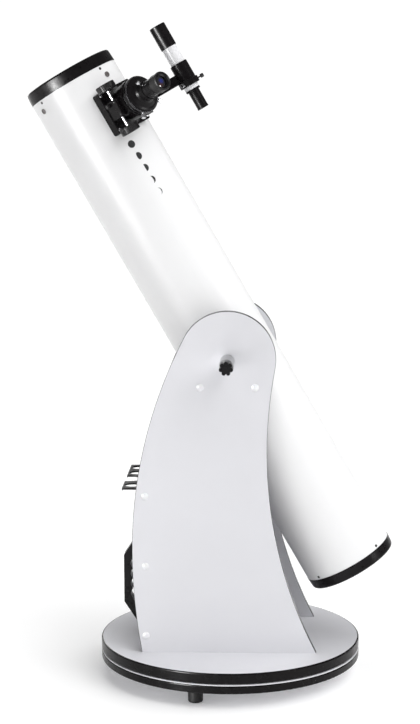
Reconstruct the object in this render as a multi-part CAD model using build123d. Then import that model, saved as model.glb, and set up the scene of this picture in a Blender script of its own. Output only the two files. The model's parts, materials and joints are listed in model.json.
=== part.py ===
from build123d import *
import os
from math import cos, pi, radians, sin, sqrt

# A 150 mm solid-tube Dobsonian reflector telescope, in millimetres.
# The origin is on the floor, on the azimuth axis. +Z is up, +Y points away from the
# tension knob's side, and the tube leans towards -X, as it is stored, at REST_ALTITUDE.

# ---- Base: two round boards on three feet -----------------------------------------
BASE_RADIUS = 258.8
TRIM_THICKNESS = 3.0
TRIM_ROUNDING = 2.6
LIP_THICKNESS = 2.2
LIP_INSET = 0.5
FOOT_HEIGHT = 32.5
FOOT_RADIUS = 14.4
FOOT_CIRCLE = 213.0
FIRST_FOOT_ANGLE = -106.5
GROUND_THICKNESS = 18.3
BEARING_GAP = 1.2
TURNTABLE_THICKNESS = 20.5
BOLT_RADIUS = 5.0
RUNNING_CLEARANCE = 0.06

GROUND_TOP = FOOT_HEIGHT + GROUND_THICKNESS
TURNTABLE_BOTTOM = GROUND_TOP + BEARING_GAP
TURN_TOP = TURNTABLE_BOTTOM + TURNTABLE_THICKNESS

# ---- Rocker box: two side boards and a front panel --------------------------------
ROCKER_WIDTH = 259.0
BOARD_THICKNESS = 15.0
SIDE_TRIM = 0.7
BOARD_TOP_RADIUS = 92.5
ARC_HEIGHT = TURN_TOP + 576.0
BULGE_X = -185.5
BULGE_HEIGHT = TURN_TOP + 197.0
FRONT_TOE_X = -168.0
WAIST_X = 75.5
WAIST_HEIGHT = TURN_TOP + 395.0
REAR_TOE_X = 171.0
PANEL_X = -160.0
PANEL_HEIGHT = 343.0
PANEL_SCREW_HEIGHTS = (33.0, 171.5, 310.0)
OUTER_FACE = ROCKER_WIDTH / 2
INNER_FACE = OUTER_FACE - BOARD_THICKNESS
PANEL_FACE_X = PANEL_X - BOARD_THICKNESS / 2

# ---- Altitude bearing and its tension knob ----------------------------------------
PIVOT_HEIGHT = TURN_TOP + 572.5
HUB_RADIUS = 60.0
HUB_DISC_THICKNESS = 16.5
HUB_SIDE_GAP = 0.8
CRADLE_CLEARANCE = 0.5
CRADLE_OUTER = 86.0
CRADLE_THICKNESS = 18.0
CRADLE_HALF_ANGLE = 66.0
CRADLE_SCREW_X = 52.4
CRADLE_SCREW_DROP = 50.0
SLEEVE_RADIUS = 14.0
SLEEVE_LENGTH = 66.0
KNOB_RADIUS = 13.5
KNOB_LENGTH = 19.5
KNOB_REACH = 93.0
STUD_RADIUS = 4.0

# ---- Optical tube -----------------------------------------------------------------
REST_ALTITUDE = 60.2
TUBE_RADIUS = 91.0
TUBE_WALL = 1.0
TUBE_TOP = 603.5
TUBE_BOTTOM = -473.0
FRONT_RING_HEIGHT = 24.5
REAR_RING_HEIGHT = 22.0
RING_SCREW_INSET = 5.2
RING_SCREW_ANGLES = (-45.0, 45.0, 135.0, 225.0)
SPIDER_ANGLES = (-50.0, 50.0, 130.0, 230.0)
SPIDER_ALONG = 583.0
MIRROR_RADIUS = 76.5
MIRROR_THICKNESS = 22.0
MIRROR_BACK = -458.5
FOCAL_LENGTH = 1120.0
COLLIMATION_CIRCLE = 66.0
COLLIMATION_ANGLES = (30.0, 150.0, 270.0)
REAR_FLANGE_LOW = -478.0
REAR_FLANGE_HIGH = -473.0
CELL_LOW = -465.0
CELL_HIGH = -459.0

# ---- Focuser: heights are distances from the tube's axis --------------------------
FOCUSER_ANGLE = 45.0
FOCUSER_ALONG = 515.0
PLATE_LENGTH = 86.0
PLATE_WIDTH = 87.0
PLATE_TOP = 97.5
BARREL_RADIUS = 35.5
BARREL_RIM = 37.0
BARREL_TOP = 145.0
DRAWTUBE_RADIUS = 27.5
DRAWTUBE_BORE = 25.5
DRAWTUBE_BOTTOM = 74.0
DRAWTUBE_FLANGE = 34.0
COLLAR_BOTTOM = 150.0
COLLAR_TOP = 159.0
COLLAR_RADIUS = 36.5
PINION_OFFSET = 34.0
PINION_HEIGHT = 118.0
PINION_MODULE = 0.8
PINION_TEETH = 12
RACK_TEETH = 24
SHAFT_RADIUS = 3.2
FOCUS_KNOB_RADIUS = 19.0
FOCUS_KNOB_LENGTH = 14.0
FOCUS_KNOB_CENTRE = 44.0
COVER_LOW = 109.0
COVER_HIGH = 135.0
COVER_FACE = 46.0
ADAPTER_TOP = 183.0
ADAPTER_NECK = 19.3
ADAPTER_SCREW_DROP = 5.2
EYEPIECE_BORE = 15.95
EYEPIECE_BARREL = 15.85
EYEPIECE_RADIUS = 17.5
EYECUP_TOP = 228.0
EYECUP_RADIUS = 18.2

# ---- Finder scope -----------------------------------------------------------------
FINDER_ANGLE = 90.0
FINDER_DISTANCE = 194.5
FINDER_CELL_TOP = 617.0
FINDER_CELL_BOTTOM = 570.0
FINDER_CELL_RADIUS = 16.2
FINDER_TUBE_RADIUS = 14.8
BRACKET_TOP = 535.0
BRACKET_STEP = 499.0
BRACKET_BOTTOM = 487.0
BRACKET_RADIUS = 17.7
BRACKET_FLANGE_RADIUS = 20.6
FINDER_EYEPIECE_TOP = 479.4
FINDER_EYEPIECE_BOTTOM = 437.5
STALK_CENTRE = 508.5
STALK_WIDTH = 19.5
SHOE_LENGTH = 58.0
SHOE_WIDTH = 36.0
SHOE_TOP = 106.0
FINDER_SCREW_ANGLES = (-5.0, 115.0)
PLUNGER_ANGLE = 235.0

# ---- Eyepiece rack and carry handle on the front panel -----------------------------
RACK_TOP = TURN_TOP + 322.0
RACK_LENGTH = 222.0
RACK_DEPTH = 38.0
RACK_SHEET = 3.0
RACK_HOLE_RADIUS = 16.1
RACK_HOLE_Y = (85.0, 34.0, -80.0)
RACK_HOLE_INSET = 19.0
RACK_NOTCH_Y = -20.0
RACK_NOTCH_RADIUS = 25.7
HANDLE_CENTRE = TURN_TOP + 115.5
HANDLE_REACH = 44.5
HANDLE_WIDTH = 27.0


# ---- Helpers ----------------------------------------------------------------------
LOW = (Align.CENTER, Align.CENTER, Align.MIN)


def rod(radius, length, start=0.0):
    """A cylinder along +Z from the given start."""
    return Pos(0, 0, start) * Cylinder(radius, length, align=LOW)


def pipe(outer, inner, length, start=0.0):
    """A round tube along +Z."""
    return rod(outer, length, start) - rod(inner, length, start)


def block(size_x, size_y, low, high):
    """A box centred on the Z axis between two heights."""
    return Pos(0, 0, low) * Box(size_x, size_y, high - low, align=LOW)


def turned(*points):
    """A solid of revolution about Z, from (radius, height) points."""
    return revolve(make_face(Plane.XZ * Polyline(*points, close=True)), Axis.Z)


def dome(radius, height, skirt):
    """A low domed button standing on the XY plane."""
    crown = Plane.XZ * ThreePointArc((0, height), (radius * 0.62, height * 0.8), (radius, skirt))
    sides = Plane.XZ * Polyline((radius, skirt), (radius, 0), (0, 0), (0, height))
    return revolve(make_face(Curve() + crown + sides), Axis.Z)


def fluted(radius, length, groove, count, chamfer_size):
    """A grip with grooves along its rim and chamfered ends, along +Z."""
    section = Circle(radius) - PolarLocations(radius + 0.35 * groove, count) * Circle(groove)
    blank = turned(
        (0, 0),
        (radius - chamfer_size, 0),
        (radius, chamfer_size),
        (radius, length - chamfer_size),
        (radius - chamfer_size, length),
        (0, length),
    )
    return extrude(section, length) & blank


def pan_screw(head_radius, head_height, shank_radius, shank_length):
    """A cross-recessed screw, its head above the XY plane and its shank below."""
    slot = 0.26 * head_radius
    reach = 1.15 * head_radius
    recess = Box(slot, reach, head_height) + Box(reach, slot, head_height)
    head = dome(head_radius, head_height, 0.35 * head_height) - Pos(0, 0, head_height) * recess
    return head + rod(shank_radius, shank_length, -shank_length)


def thumbscrew(shank_radius, shank_length, head_radius, head_length):
    """A knurled thumbscrew, its shank from 0 outwards along +Z and its head beyond."""
    head = fluted(head_radius, head_length, 0.6, 12, 0.7)
    return rod(shank_radius, shank_length) + Pos(0, 0, shank_length) * head


def coil(radius, wire_radius, pitch, height):
    """An open compression spring along +Z."""
    path = Helix(pitch, height, radius)
    section = Plane(origin=path @ 0, z_dir=path % 0) * Circle(wire_radius)
    return sweep(section, path=path, is_frenet=True)


def facing(origin, z_dir, x_dir=None):
    """A location whose +Z points along z_dir."""
    return Plane(origin=origin, x_dir=x_dir, z_dir=z_dir).location


def polar(radius, degrees_from_x):
    angle = radians(degrees_from_x)
    return radius * cos(angle), radius * sin(angle)


def group(shapes):
    return Compound(children=list(shapes))


def upright(face, y_high, thickness):
    """A sketch drawn as (x, height), as a board whose far face is at y_high."""
    return Pos(0, y_high, 0) * extrude(Plane.XZ * face, thickness)


def rod_y(radius, x, height, y_low, y_high):
    """A cylinder along Y."""
    return facing((x, y_low, height), (0, 1, 0)) * rod(radius, y_high - y_low)


def rod_x(radius, x_low, x_high, y, height):
    """A cylinder along X."""
    return facing((x_low, y, height), (1, 0, 0)) * rod(radius, x_high - x_low)


# The tube's frame: origin at the pivot, +Z along the tube to the sky, +X away from the
# floor side. Angles around it count from the near side (-Y) towards +X.
TUBE_FRAME = Location((0, 0, PIVOT_HEIGHT), (0, REST_ALTITUDE - 90.0, 0))


def around(angle):
    turn = radians(angle)
    return Vector(sin(turn), -cos(turn), 0)


def on_tube(angle, along, distance=0.0):
    """A frame on the tube: +Z straight out of it, +X along the tube to the sky."""
    out = around(angle)
    return facing(out * distance + Vector(0, 0, along), out, (0, 0, 1))


FOCUSER_FRAME = on_tube(FOCUSER_ANGLE, FOCUSER_ALONG)
FINDER_FRAME = Location((FINDER_DISTANCE, 0, 0))


# ---- Base -------------------------------------------------------------------------
def foot_places():
    return [polar(FOOT_CIRCLE, FIRST_FOOT_ANGLE + 120 * index) for index in range(3)]


def round_board(low, thickness):
    return rod(BASE_RADIUS - TRIM_THICKNESS, thickness, low)


def edge_trim(low, thickness):
    trim = pipe(BASE_RADIUS, BASE_RADIUS - TRIM_THICKNESS, thickness, low)
    rims = trim.edges().filter_by(GeomType.CIRCLE)
    return fillet([edge for edge in rims if edge.radius > BASE_RADIUS - 0.5], TRIM_ROUNDING)


FOOT_SCREW_SEAT = 18.0
FOOT_SCREW_RADIUS = 2.2
FOOT_SCREW_LENGTH = 26.0
FOOT_COUNTERBORE = 6.5
FOOT_PILOT_DEPTH = 12.5
PAD_RADIUS = 15.0
PAD_PLAY = 0.2
BOLT_WASHER_RADIUS = 13.0
BOLT_WASHER_THICKNESS = 2.2
BOLT_PLAY = 0.3
BOLT_HEAD_RADIUS = 9.2
BOLT_HEAD_HEIGHT = 6.5


def make_ground_board():
    """The lower board, whose white facing laps over the top of its edge trim."""
    board = round_board(FOOT_HEIGHT, GROUND_THICKNESS)
    board += rod(BASE_RADIUS - LIP_INSET, LIP_THICKNESS, GROUND_TOP - LIP_THICKNESS)
    board -= rod(BOLT_RADIUS + RUNNING_CLEARANCE, GROUND_THICKNESS, FOOT_HEIGHT)
    for x, y in foot_places():
        board -= Pos(x, y, 0) * rod(FOOT_SCREW_RADIUS + RUNNING_CLEARANCE, FOOT_PILOT_DEPTH, FOOT_HEIGHT)
    return board


def make_feet():
    foot = turned(
        (FOOT_SCREW_RADIUS + RUNNING_CLEARANCE, FOOT_SCREW_SEAT),
        (FOOT_SCREW_RADIUS + RUNNING_CLEARANCE, FOOT_HEIGHT),
        (FOOT_RADIUS + 0.6, FOOT_HEIGHT),
        (FOOT_RADIUS, 3.2),
        (FOOT_RADIUS - 1.0, 1.0),
        (FOOT_RADIUS - 3.0, 0),
        (FOOT_COUNTERBORE, 0),
        (FOOT_COUNTERBORE, FOOT_SCREW_SEAT),
    )
    return group(Pos(x, y, 0) * foot for x, y in foot_places())


def make_foot_screws():
    screw = Rot(180, 0, 0) * pan_screw(5.0, 3.0, FOOT_SCREW_RADIUS, FOOT_SCREW_LENGTH)
    return group(Pos(x, y, FOOT_SCREW_SEAT) * screw for x, y in foot_places())


def make_bearing_pads():
    pad = rod(PAD_RADIUS, BEARING_GAP - PAD_PLAY, GROUND_TOP)
    return group(Pos(x, y, 0) * pad for x, y in foot_places())


def make_azimuth_bolt():
    seat = TURN_TOP + BOLT_PLAY
    washer = rod(BOLT_WASHER_RADIUS, BOLT_WASHER_THICKNESS, seat)
    hexagon = extrude(RegularPolygon(BOLT_HEAD_RADIUS, 6), BOLT_HEAD_HEIGHT)
    head = Pos(0, 0, seat + BOLT_WASHER_THICKNESS) * hexagon
    return rod(BOLT_RADIUS, seat - FOOT_HEIGHT, FOOT_HEIGHT) + washer + head


def make_turntable_board():
    board = round_board(TURNTABLE_BOTTOM, TURNTABLE_THICKNESS)
    return board - rod(BOLT_RADIUS + RUNNING_CLEARANCE, TURNTABLE_THICKNESS, TURNTABLE_BOTTOM)


# ---- Rocker box -------------------------------------------------------------------
def arc(centre, radius, start, end):
    """An arc of less than half a turn about a centre."""
    middle = (Vector(*start) - Vector(*centre)) + (Vector(*end) - Vector(*centre))
    return ThreePointArc(start, Vector(*centre) + middle.normalized() * radius, end)


def side_outline(inset):
    """A side board's outline as (x, height): five tangent arcs on a straight foot.

    The front edge bulges, the rear edge has a waist and a flared toe, and both run
    into the round top. inset moves the curved edges in, and leaves the foot.
    """
    top = Vector(0, ARC_HEIGHT)
    top_radius = BOARD_TOP_RADIUS - inset

    rise = ARC_HEIGHT - BULGE_HEIGHT
    bulge_radius = (BOARD_TOP_RADIUS**2 - BULGE_X**2 - rise**2) / (2 * (BULGE_X + BOARD_TOP_RADIUS))
    bulge = Vector(BULGE_X + bulge_radius, BULGE_HEIGHT)
    front_top = top + (top - bulge).normalized() * top_radius
    front_middle = Vector(BULGE_X + inset, BULGE_HEIGHT)

    drop = BULGE_HEIGHT - TURN_TOP
    step = FRONT_TOE_X - BULGE_X
    toe_radius = (drop**2 + step**2) / (2 * step)
    toe = Vector(BULGE_X + toe_radius, BULGE_HEIGHT)
    front_foot = Vector(toe.X - sqrt((toe_radius - inset) ** 2 - drop**2), TURN_TOP)

    rise = ARC_HEIGHT - WAIST_HEIGHT
    waist_radius = (WAIST_X**2 + rise**2 - BOARD_TOP_RADIUS**2) / (2 * (BOARD_TOP_RADIUS - WAIST_X))
    waist = Vector(WAIST_X + waist_radius, WAIST_HEIGHT)
    rear_top = top + (waist - top).normalized() * top_radius
    rear_middle = Vector(WAIST_X - inset, WAIST_HEIGHT)

    drop = WAIST_HEIGHT - TURN_TOP
    step = REAR_TOE_X - WAIST_X
    flare_radius = (drop**2 + step**2) / (2 * step)
    flare = Vector(WAIST_X + flare_radius, WAIST_HEIGHT)
    rear_foot = Vector(flare.X - sqrt((flare_radius + inset) ** 2 - drop**2), TURN_TOP)

    return make_face([
        arc(toe, toe_radius - inset, front_foot, front_middle),
        arc(bulge, bulge_radius - inset, front_middle, front_top),
        arc(top, top_radius, front_top, rear_top),
        arc(waist, waist_radius + inset, rear_top, rear_middle),
        arc(flare, flare_radius + inset, rear_middle, rear_foot),
        Line(rear_foot, front_foot),
    ])


PIVOT_HOLE_RADIUS = 5.5
BOARD_SCREW_RADIUS = 2.5
BOARD_SCREW_HEAD = 4.5
BOARD_SCREW_HEAD_DEPTH = 3.0
BOARD_SCREW_SOCKET = 2.3
PANEL_SCREW_REACH = 40.0
CRADLE_SCREW_REACH = 26.0
CAP_RADIUS = 7.4
CAP_HEIGHT = 3.0
CAP_RIM = 0.7


def side_screw_places():
    """Each side's screws: (x, height, length)."""
    places = [(PANEL_X, TURN_TOP + height, PANEL_SCREW_REACH) for height in PANEL_SCREW_HEIGHTS]
    for x in (-CRADLE_SCREW_X, CRADLE_SCREW_X):
        places.append((x, PIVOT_HEIGHT - CRADLE_SCREW_DROP, CRADLE_SCREW_REACH))
    return places


def mirrored_y(shape):
    return mirror(shape, Plane.XZ)


def make_side_board():
    """The near board; the far one is its mirror image."""
    board = upright(side_outline(SIDE_TRIM), -INNER_FACE, BOARD_THICKNESS)
    board -= rod_y(PIVOT_HOLE_RADIUS, 0, PIVOT_HEIGHT, -OUTER_FACE, -INNER_FACE)
    for x, height, _ in side_screw_places():
        clearance = BOARD_SCREW_RADIUS + RUNNING_CLEARANCE
        board -= rod_y(clearance, x, height, -OUTER_FACE, -INNER_FACE)
        seat = -OUTER_FACE + BOARD_SCREW_HEAD_DEPTH
        board -= rod_y(BOARD_SCREW_HEAD + RUNNING_CLEARANCE, x, height, -OUTER_FACE, seat)
    return board


def make_side_trim():
    trim = upright(side_outline(0), -INNER_FACE, BOARD_THICKNESS)
    return trim - upright(side_outline(SIDE_TRIM), -INNER_FACE, BOARD_THICKNESS)


def make_side_screws():
    screws = []
    for x, height, reach in side_screw_places():
        head_low = -OUTER_FACE
        seat = head_low + BOARD_SCREW_HEAD_DEPTH
        head = rod_y(BOARD_SCREW_HEAD, x, height, head_low, seat)
        hexagon = extrude(RegularPolygon(BOARD_SCREW_SOCKET, 6), 2.0)
        socket = facing((x, head_low, height), (0, 1, 0)) * hexagon
        screws.append(head - socket + rod_y(BOARD_SCREW_RADIUS, x, height, seat, head_low + reach))
    return screws


def make_side_caps():
    cap = dome(CAP_RADIUS, CAP_HEIGHT, CAP_RIM)
    return [facing((x, -OUTER_FACE, height), (0, -1, 0)) * cap for x, height, _ in side_screw_places()]


RACK_SCREW_Y = (-96.0, 0.0, 96.0)
RACK_SCREW_DROP = 12.0
HANDLE_SCREW_OFFSET = 90.0
FACE_SCREW_RADIUS = 1.9
FACE_SCREW_HEAD = 4.0
FACE_SCREW_BITE = 11.0
HANDLE_FOOT = 8.0


def face_screw_places():
    """Screws into the front panel's face: (y, height, stand-off of the head's seat)."""
    places = [(y, RACK_TOP - RACK_SCREW_DROP, RACK_SHEET) for y in RACK_SCREW_Y]
    for side in (-1, 1):
        places.append((0.0, HANDLE_CENTRE + side * HANDLE_SCREW_OFFSET, HANDLE_FOOT))
    return places


PANEL_TOP_ROUNDING = 1.5
PILOT_SPARE = 0.5


def make_front_panel():
    centre = TURN_TOP + PANEL_HEIGHT / 2
    panel = Pos(PANEL_X, 0, centre) * Box(BOARD_THICKNESS, 2 * INNER_FACE, PANEL_HEIGHT)
    top_edges = panel.edges().filter_by(Axis.Y).group_by(Axis.Z)[-1]
    panel = fillet(top_edges, PANEL_TOP_ROUNDING)
    for height in PANEL_SCREW_HEIGHTS:
        hole = BOARD_SCREW_RADIUS + RUNNING_CLEARANCE
        deep = OUTER_FACE - PANEL_SCREW_REACH - 1.0
        panel -= rod_y(hole, PANEL_X, TURN_TOP + height, -INNER_FACE, -deep)
        panel -= rod_y(hole, PANEL_X, TURN_TOP + height, deep, INNER_FACE)
    for y, height, _ in face_screw_places():
        end = PANEL_FACE_X + FACE_SCREW_BITE + PILOT_SPARE
        panel -= rod_x(FACE_SCREW_RADIUS + RUNNING_CLEARANCE, PANEL_FACE_X, end, y, height)
    return panel


def make_face_screws():
    screws = []
    for y, height, stand_off in face_screw_places():
        screw = pan_screw(FACE_SCREW_HEAD, 2.4, FACE_SCREW_RADIUS, FACE_SCREW_BITE + stand_off)
        screws.append(facing((PANEL_FACE_X - stand_off, y, height), (-1, 0, 0)) * screw)
    return screws


CRADLE_ROUNDING = 3.0


def make_cradle():
    """A half-round saddle that the altitude hub turns in, on the near board."""
    saddle = pipe(CRADLE_OUTER, HUB_RADIUS + CRADLE_CLEARANCE, CRADLE_THICKNESS)
    reach = 2 * CRADLE_OUTER
    left = polar(reach, -90 - CRADLE_HALF_ANGLE)
    right = polar(reach, -90 + CRADLE_HALF_ANGLE)
    wedge = make_face(Polyline((0, 0), left, (left[0], -reach), (right[0], -reach), right, close=True))
    saddle &= extrude(wedge, CRADLE_THICKNESS)
    saddle = fillet(saddle.edges().filter_by(Axis.Z), CRADLE_ROUNDING)
    place = facing((0, -INNER_FACE + CRADLE_THICKNESS, PIVOT_HEIGHT), (0, -1, 0), (1, 0, 0))
    saddle = place * saddle
    for x in (-CRADLE_SCREW_X, CRADLE_SCREW_X):
        deep = -OUTER_FACE + CRADLE_SCREW_REACH + PILOT_SPARE
        height = PIVOT_HEIGHT - CRADLE_SCREW_DROP
        saddle -= rod_y(BOARD_SCREW_RADIUS + RUNNING_CLEARANCE, x, height, -INNER_FACE, deep)
    return saddle


RACK_FLANGE_HEIGHT = 20.0
RACK_LIP_HEIGHT = 4.2
RACK_LIP_THICKNESS = 1.8


def make_eyepiece_rack():
    """A thin shelf with three 1.25 inch holes and one open 2 inch notch."""
    front_x = PANEL_FACE_X - RACK_DEPTH
    low = RACK_TOP - RACK_SHEET
    shelf = Pos(PANEL_FACE_X - RACK_DEPTH / 2, 0, 0) * block(RACK_DEPTH, RACK_LENGTH, low, RACK_TOP)
    flange_low = RACK_TOP - RACK_FLANGE_HEIGHT
    flange = Pos(PANEL_FACE_X - RACK_SHEET / 2, 0, 0) * block(RACK_SHEET, RACK_LENGTH, flange_low, RACK_TOP)
    lip = block(RACK_LIP_THICKNESS, RACK_LENGTH, RACK_TOP - RACK_LIP_HEIGHT, RACK_TOP)
    lip = Pos(front_x + RACK_LIP_THICKNESS / 2, 0, 0) * lip
    rack = shelf + flange + lip
    hole_x = front_x + RACK_HOLE_INSET
    for y in RACK_HOLE_Y:
        rack -= Pos(hole_x, y, 0) * rod(RACK_HOLE_RADIUS, RACK_SHEET, low)
    notch_x = PANEL_FACE_X - RACK_SHEET - RACK_NOTCH_RADIUS
    below = RACK_TOP - RACK_LIP_HEIGHT - 1.0
    notch = rod(RACK_NOTCH_RADIUS, RACK_TOP - below, below)
    width = 2 * RACK_NOTCH_RADIUS
    notch += Pos(-RACK_NOTCH_RADIUS, 0, 0) * block(width, width, below, RACK_TOP)
    rack -= Pos(notch_x, RACK_NOTCH_Y, 0) * notch
    for y, height, stand_off in face_screw_places()[:3]:
        hole = FACE_SCREW_RADIUS + RUNNING_CLEARANCE
        rack -= rod_x(hole, PANEL_FACE_X - stand_off, PANEL_FACE_X, y, height)
    return rack


GRIP_DEPTH = 17.0
FINGER_PITCH = 20.5
FINGER_RADIUS = 12.5
FINGER_INSET = 9.0
HANDLE_COUNTERBORE = 6.0


def make_carry_handle():
    """A D-shaped pull handle with four finger grooves inside its grip."""
    grip_inner = HANDLE_REACH - GRIP_DEPTH
    half = [
        (0, 104),
        (HANDLE_FOOT, 104),
        (HANDLE_REACH, 48),
        (HANDLE_REACH, 0),
        (grip_inner, 0),
        (grip_inner, 41),
        (HANDLE_FOOT, 76),
        (0, 76),
    ]
    upper = make_face(Polyline(*[(-p, s) for p, s in half], close=True))
    face = upper + mirror(upper, Plane.XZ)
    for index in range(4):
        centre = Pos(-grip_inner + FINGER_INSET, (index - 1.5) * FINGER_PITCH)
        face -= centre * Circle(FINGER_RADIUS)
    face = fillet(face.vertices().group_by(Axis.X)[0], 6.0)
    handle = extrude(face, HANDLE_WIDTH / 2, both=True)
    place = Plane(origin=(PANEL_FACE_X, 0, HANDLE_CENTRE), x_dir=(1, 0, 0), z_dir=(0, -1, 0))
    handle = place.location * handle
    for y, height, _ in face_screw_places()[3:]:
        hole = FACE_SCREW_RADIUS + RUNNING_CLEARANCE
        handle -= rod_x(hole, PANEL_FACE_X - HANDLE_FOOT, PANEL_FACE_X, y, height)
        seat = PANEL_FACE_X - HANDLE_FOOT
        handle -= rod_x(HANDLE_COUNTERBORE, PANEL_FACE_X - HANDLE_REACH, seat, y, height)
    return handle


# ---- Altitude tension --------------------------------------------------------------
def tension_frame():
    """+Z points out of the near board along the altitude axis."""
    return facing((0, -OUTER_FACE, PIVOT_HEIGHT), (0, -1, 0), (1, 0, 0))


SLEEVE_BORE = 11.0
SLEEVE_CAP = 3.0
STUD_PLAY = 0.6
STUD_REACH = 16.0
LOBE_RADIUS = 3.9
LOBE_COUNT = 7
KNOB_CORE_RADIUS = 9.8
KNOB_BOSS_RADIUS = 8.5


def make_tension_sleeve():
    """A tube that stands on the near board round the spring and the stud."""
    sleeve = rod(SLEEVE_RADIUS, SLEEVE_LENGTH) - rod(SLEEVE_BORE, SLEEVE_LENGTH - SLEEVE_CAP)
    sleeve -= rod(STUD_RADIUS + STUD_PLAY, SLEEVE_LENGTH)
    sleeve = chamfer(sleeve.edges().group_by(Axis.Z)[-1].filter_by(lambda e: e.radius > 10), 0.8)
    for side in (-1, 1):
        sleeve -= Pos(0, 0, 9.0) * Rot(0, 0, side * 32) * Rot(-90, 0, 0) * rod(1.5, SLEEVE_RADIUS + 1)
    return tension_frame() * sleeve


def make_tension_spring():
    return tension_frame() * Pos(0, 0, 1.6) * coil(7.6, 1.2, 7.0, 59.0)


def make_tension_knob():
    """A seven-lobed knob with its steel stud moulded in."""
    low = KNOB_REACH - KNOB_LENGTH
    lobes = PolarLocations(KNOB_RADIUS - LOBE_RADIUS, LOBE_COUNT, start_angle=90)
    section = Circle(KNOB_CORE_RADIUS) + lobes * Circle(LOBE_RADIUS)
    star = Pos(0, 0, low) * extrude(section, KNOB_LENGTH)
    star = chamfer(star.edges().group_by(Axis.Z)[-1], 1.2)
    boss_start = SLEEVE_LENGTH + STUD_PLAY
    boss = rod(KNOB_BOSS_RADIUS, low - boss_start, boss_start)
    stud_start = INNER_FACE - OUTER_FACE - STUD_REACH
    stud = rod(STUD_RADIUS, low - stud_start, stud_start)
    return tension_frame() * (star + boss + stud)


PEDESTAL_RADIUS = 47.0
PEDESTAL_START = 70.0
HUB_RECESS_OUTER = 52.0
HUB_RECESS_INNER = 20.0
HUB_RECESS_DEPTH = 8.0
HUB_RIB_COUNT = 8
HUB_BORE_DEPTH = 22.0
TUBE_FIT = 0.05


def make_hub(side):
    """An altitude bearing hub with a saddle that fits the tube. side is -1 near, 1 far."""
    outer = INNER_FACE - HUB_SIDE_GAP
    inner = outer - HUB_DISC_THICKNESS
    disc = rod(HUB_RADIUS, HUB_DISC_THICKNESS, inner)
    disc = chamfer(disc.edges().filter_by(GeomType.CIRCLE), 1.0)
    pedestal = rod(PEDESTAL_RADIUS, inner - PEDESTAL_START, PEDESTAL_START)
    floor = outer - HUB_RECESS_DEPTH
    recess = pipe(HUB_RECESS_OUTER, HUB_RECESS_INNER, HUB_RECESS_DEPTH, floor)
    rib = block(HUB_RECESS_OUTER - HUB_RECESS_INNER + 1.0, 3.0, floor, outer)
    ribs = Part() + PolarLocations((HUB_RECESS_OUTER + HUB_RECESS_INNER) / 2, HUB_RIB_COUNT) * rib
    hub = disc + pedestal - (recess - ribs)
    hub = facing((0, 0, 0), (0, side, 0), (1, 0, 0)) * hub
    hub -= rod(TUBE_RADIUS + TUBE_FIT, 200.0, -100.0)
    bore = rod(STUD_RADIUS + RUNNING_CLEARANCE, HUB_BORE_DEPTH, outer - HUB_BORE_DEPTH)
    return hub - facing((0, 0, 0), (0, side, 0), (1, 0, 0)) * bore


def make_far_pivot_bolt():
    """The plain pivot on the far side: a domed head on a shoulder bolt."""
    head = Pos(0, 0, STUD_PLAY) * fluted(14.0, 9.0, 1.6, 12, 1.2)
    start = INNER_FACE - OUTER_FACE - STUD_REACH
    stud = rod(STUD_RADIUS, STUD_PLAY - start, start)
    return facing((0, OUTER_FACE, PIVOT_HEIGHT), (0, 1, 0), (1, 0, 0)) * (head + stud)


# ---- Optical tube -----------------------------------------------------------------
def screw_hole(frame, radius, low, high):
    return frame * rod(radius, high - low, low)


PLATE_SCREW_X = 36.0
PLATE_SCREW_Y = 38.5
PLATE_SCREW_RADIUS = 1.9
SHOE_SCREW_ALONG = 20.0
SHOE_SCREW_RADIUS = 1.9
SHOE_SCREW_HEAD = 3.2
SHOE_SCREW_SEAT = 2.4
RING_SCREW_RADIUS = 1.5
SPIDER_SCREW_RADIUS = 2.0
TUBE_HOLE_DEPTH = 4.0
FOCUSER_OPENING = 32.0


def plate_screw_frames():
    return [
        FOCUSER_FRAME * Pos(x, y, PLATE_TOP)
        for x in (-PLATE_SCREW_X, PLATE_SCREW_X)
        for y in (-PLATE_SCREW_Y, PLATE_SCREW_Y)
    ]


def ring_screw_frames():
    frames = []
    for angle in RING_SCREW_ANGLES:
        frames.append(on_tube(angle, TUBE_TOP - RING_SCREW_INSET, TUBE_RADIUS))
        frames.append(on_tube(angle, TUBE_BOTTOM + RING_SCREW_INSET, TUBE_RADIUS))
    return frames


def spider_screw_frames():
    return [on_tube(angle, SPIDER_ALONG, TUBE_RADIUS) for angle in SPIDER_ANGLES]


def shoe_screw_frames():
    return [
        on_tube(FINDER_ANGLE, STALK_CENTRE + side * SHOE_SCREW_ALONG, TUBE_RADIUS) for side in (-1, 1)
    ]


def make_tube_shell():
    shell = pipe(TUBE_RADIUS, TUBE_RADIUS - TUBE_WALL, TUBE_TOP - TUBE_BOTTOM, TUBE_BOTTOM)
    shell -= FOCUSER_FRAME * rod(FOCUSER_OPENING, 40.0, 70.0)
    for frame in plate_screw_frames():
        shell -= screw_hole(frame, PLATE_SCREW_RADIUS + RUNNING_CLEARANCE, -25.0, 0.0)
    for frame in ring_screw_frames():
        radius = RING_SCREW_RADIUS + RUNNING_CLEARANCE
        shell -= screw_hole(frame, radius, -TUBE_HOLE_DEPTH, TUBE_HOLE_DEPTH)
    for frame in spider_screw_frames():
        radius = SPIDER_SCREW_RADIUS + RUNNING_CLEARANCE
        shell -= screw_hole(frame, radius, -TUBE_HOLE_DEPTH, TUBE_HOLE_DEPTH)
    for frame in shoe_screw_frames():
        radius = SHOE_SCREW_RADIUS + RUNNING_CLEARANCE
        shell -= screw_hole(frame, radius, -TUBE_HOLE_DEPTH, TUBE_HOLE_DEPTH)
    return shell


RING_BORE = 84.0
RING_LIP_DEPTH = 11.0
RING_ROUNDING = 4.8
RING_SCREW_BITE = 9.0


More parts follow.
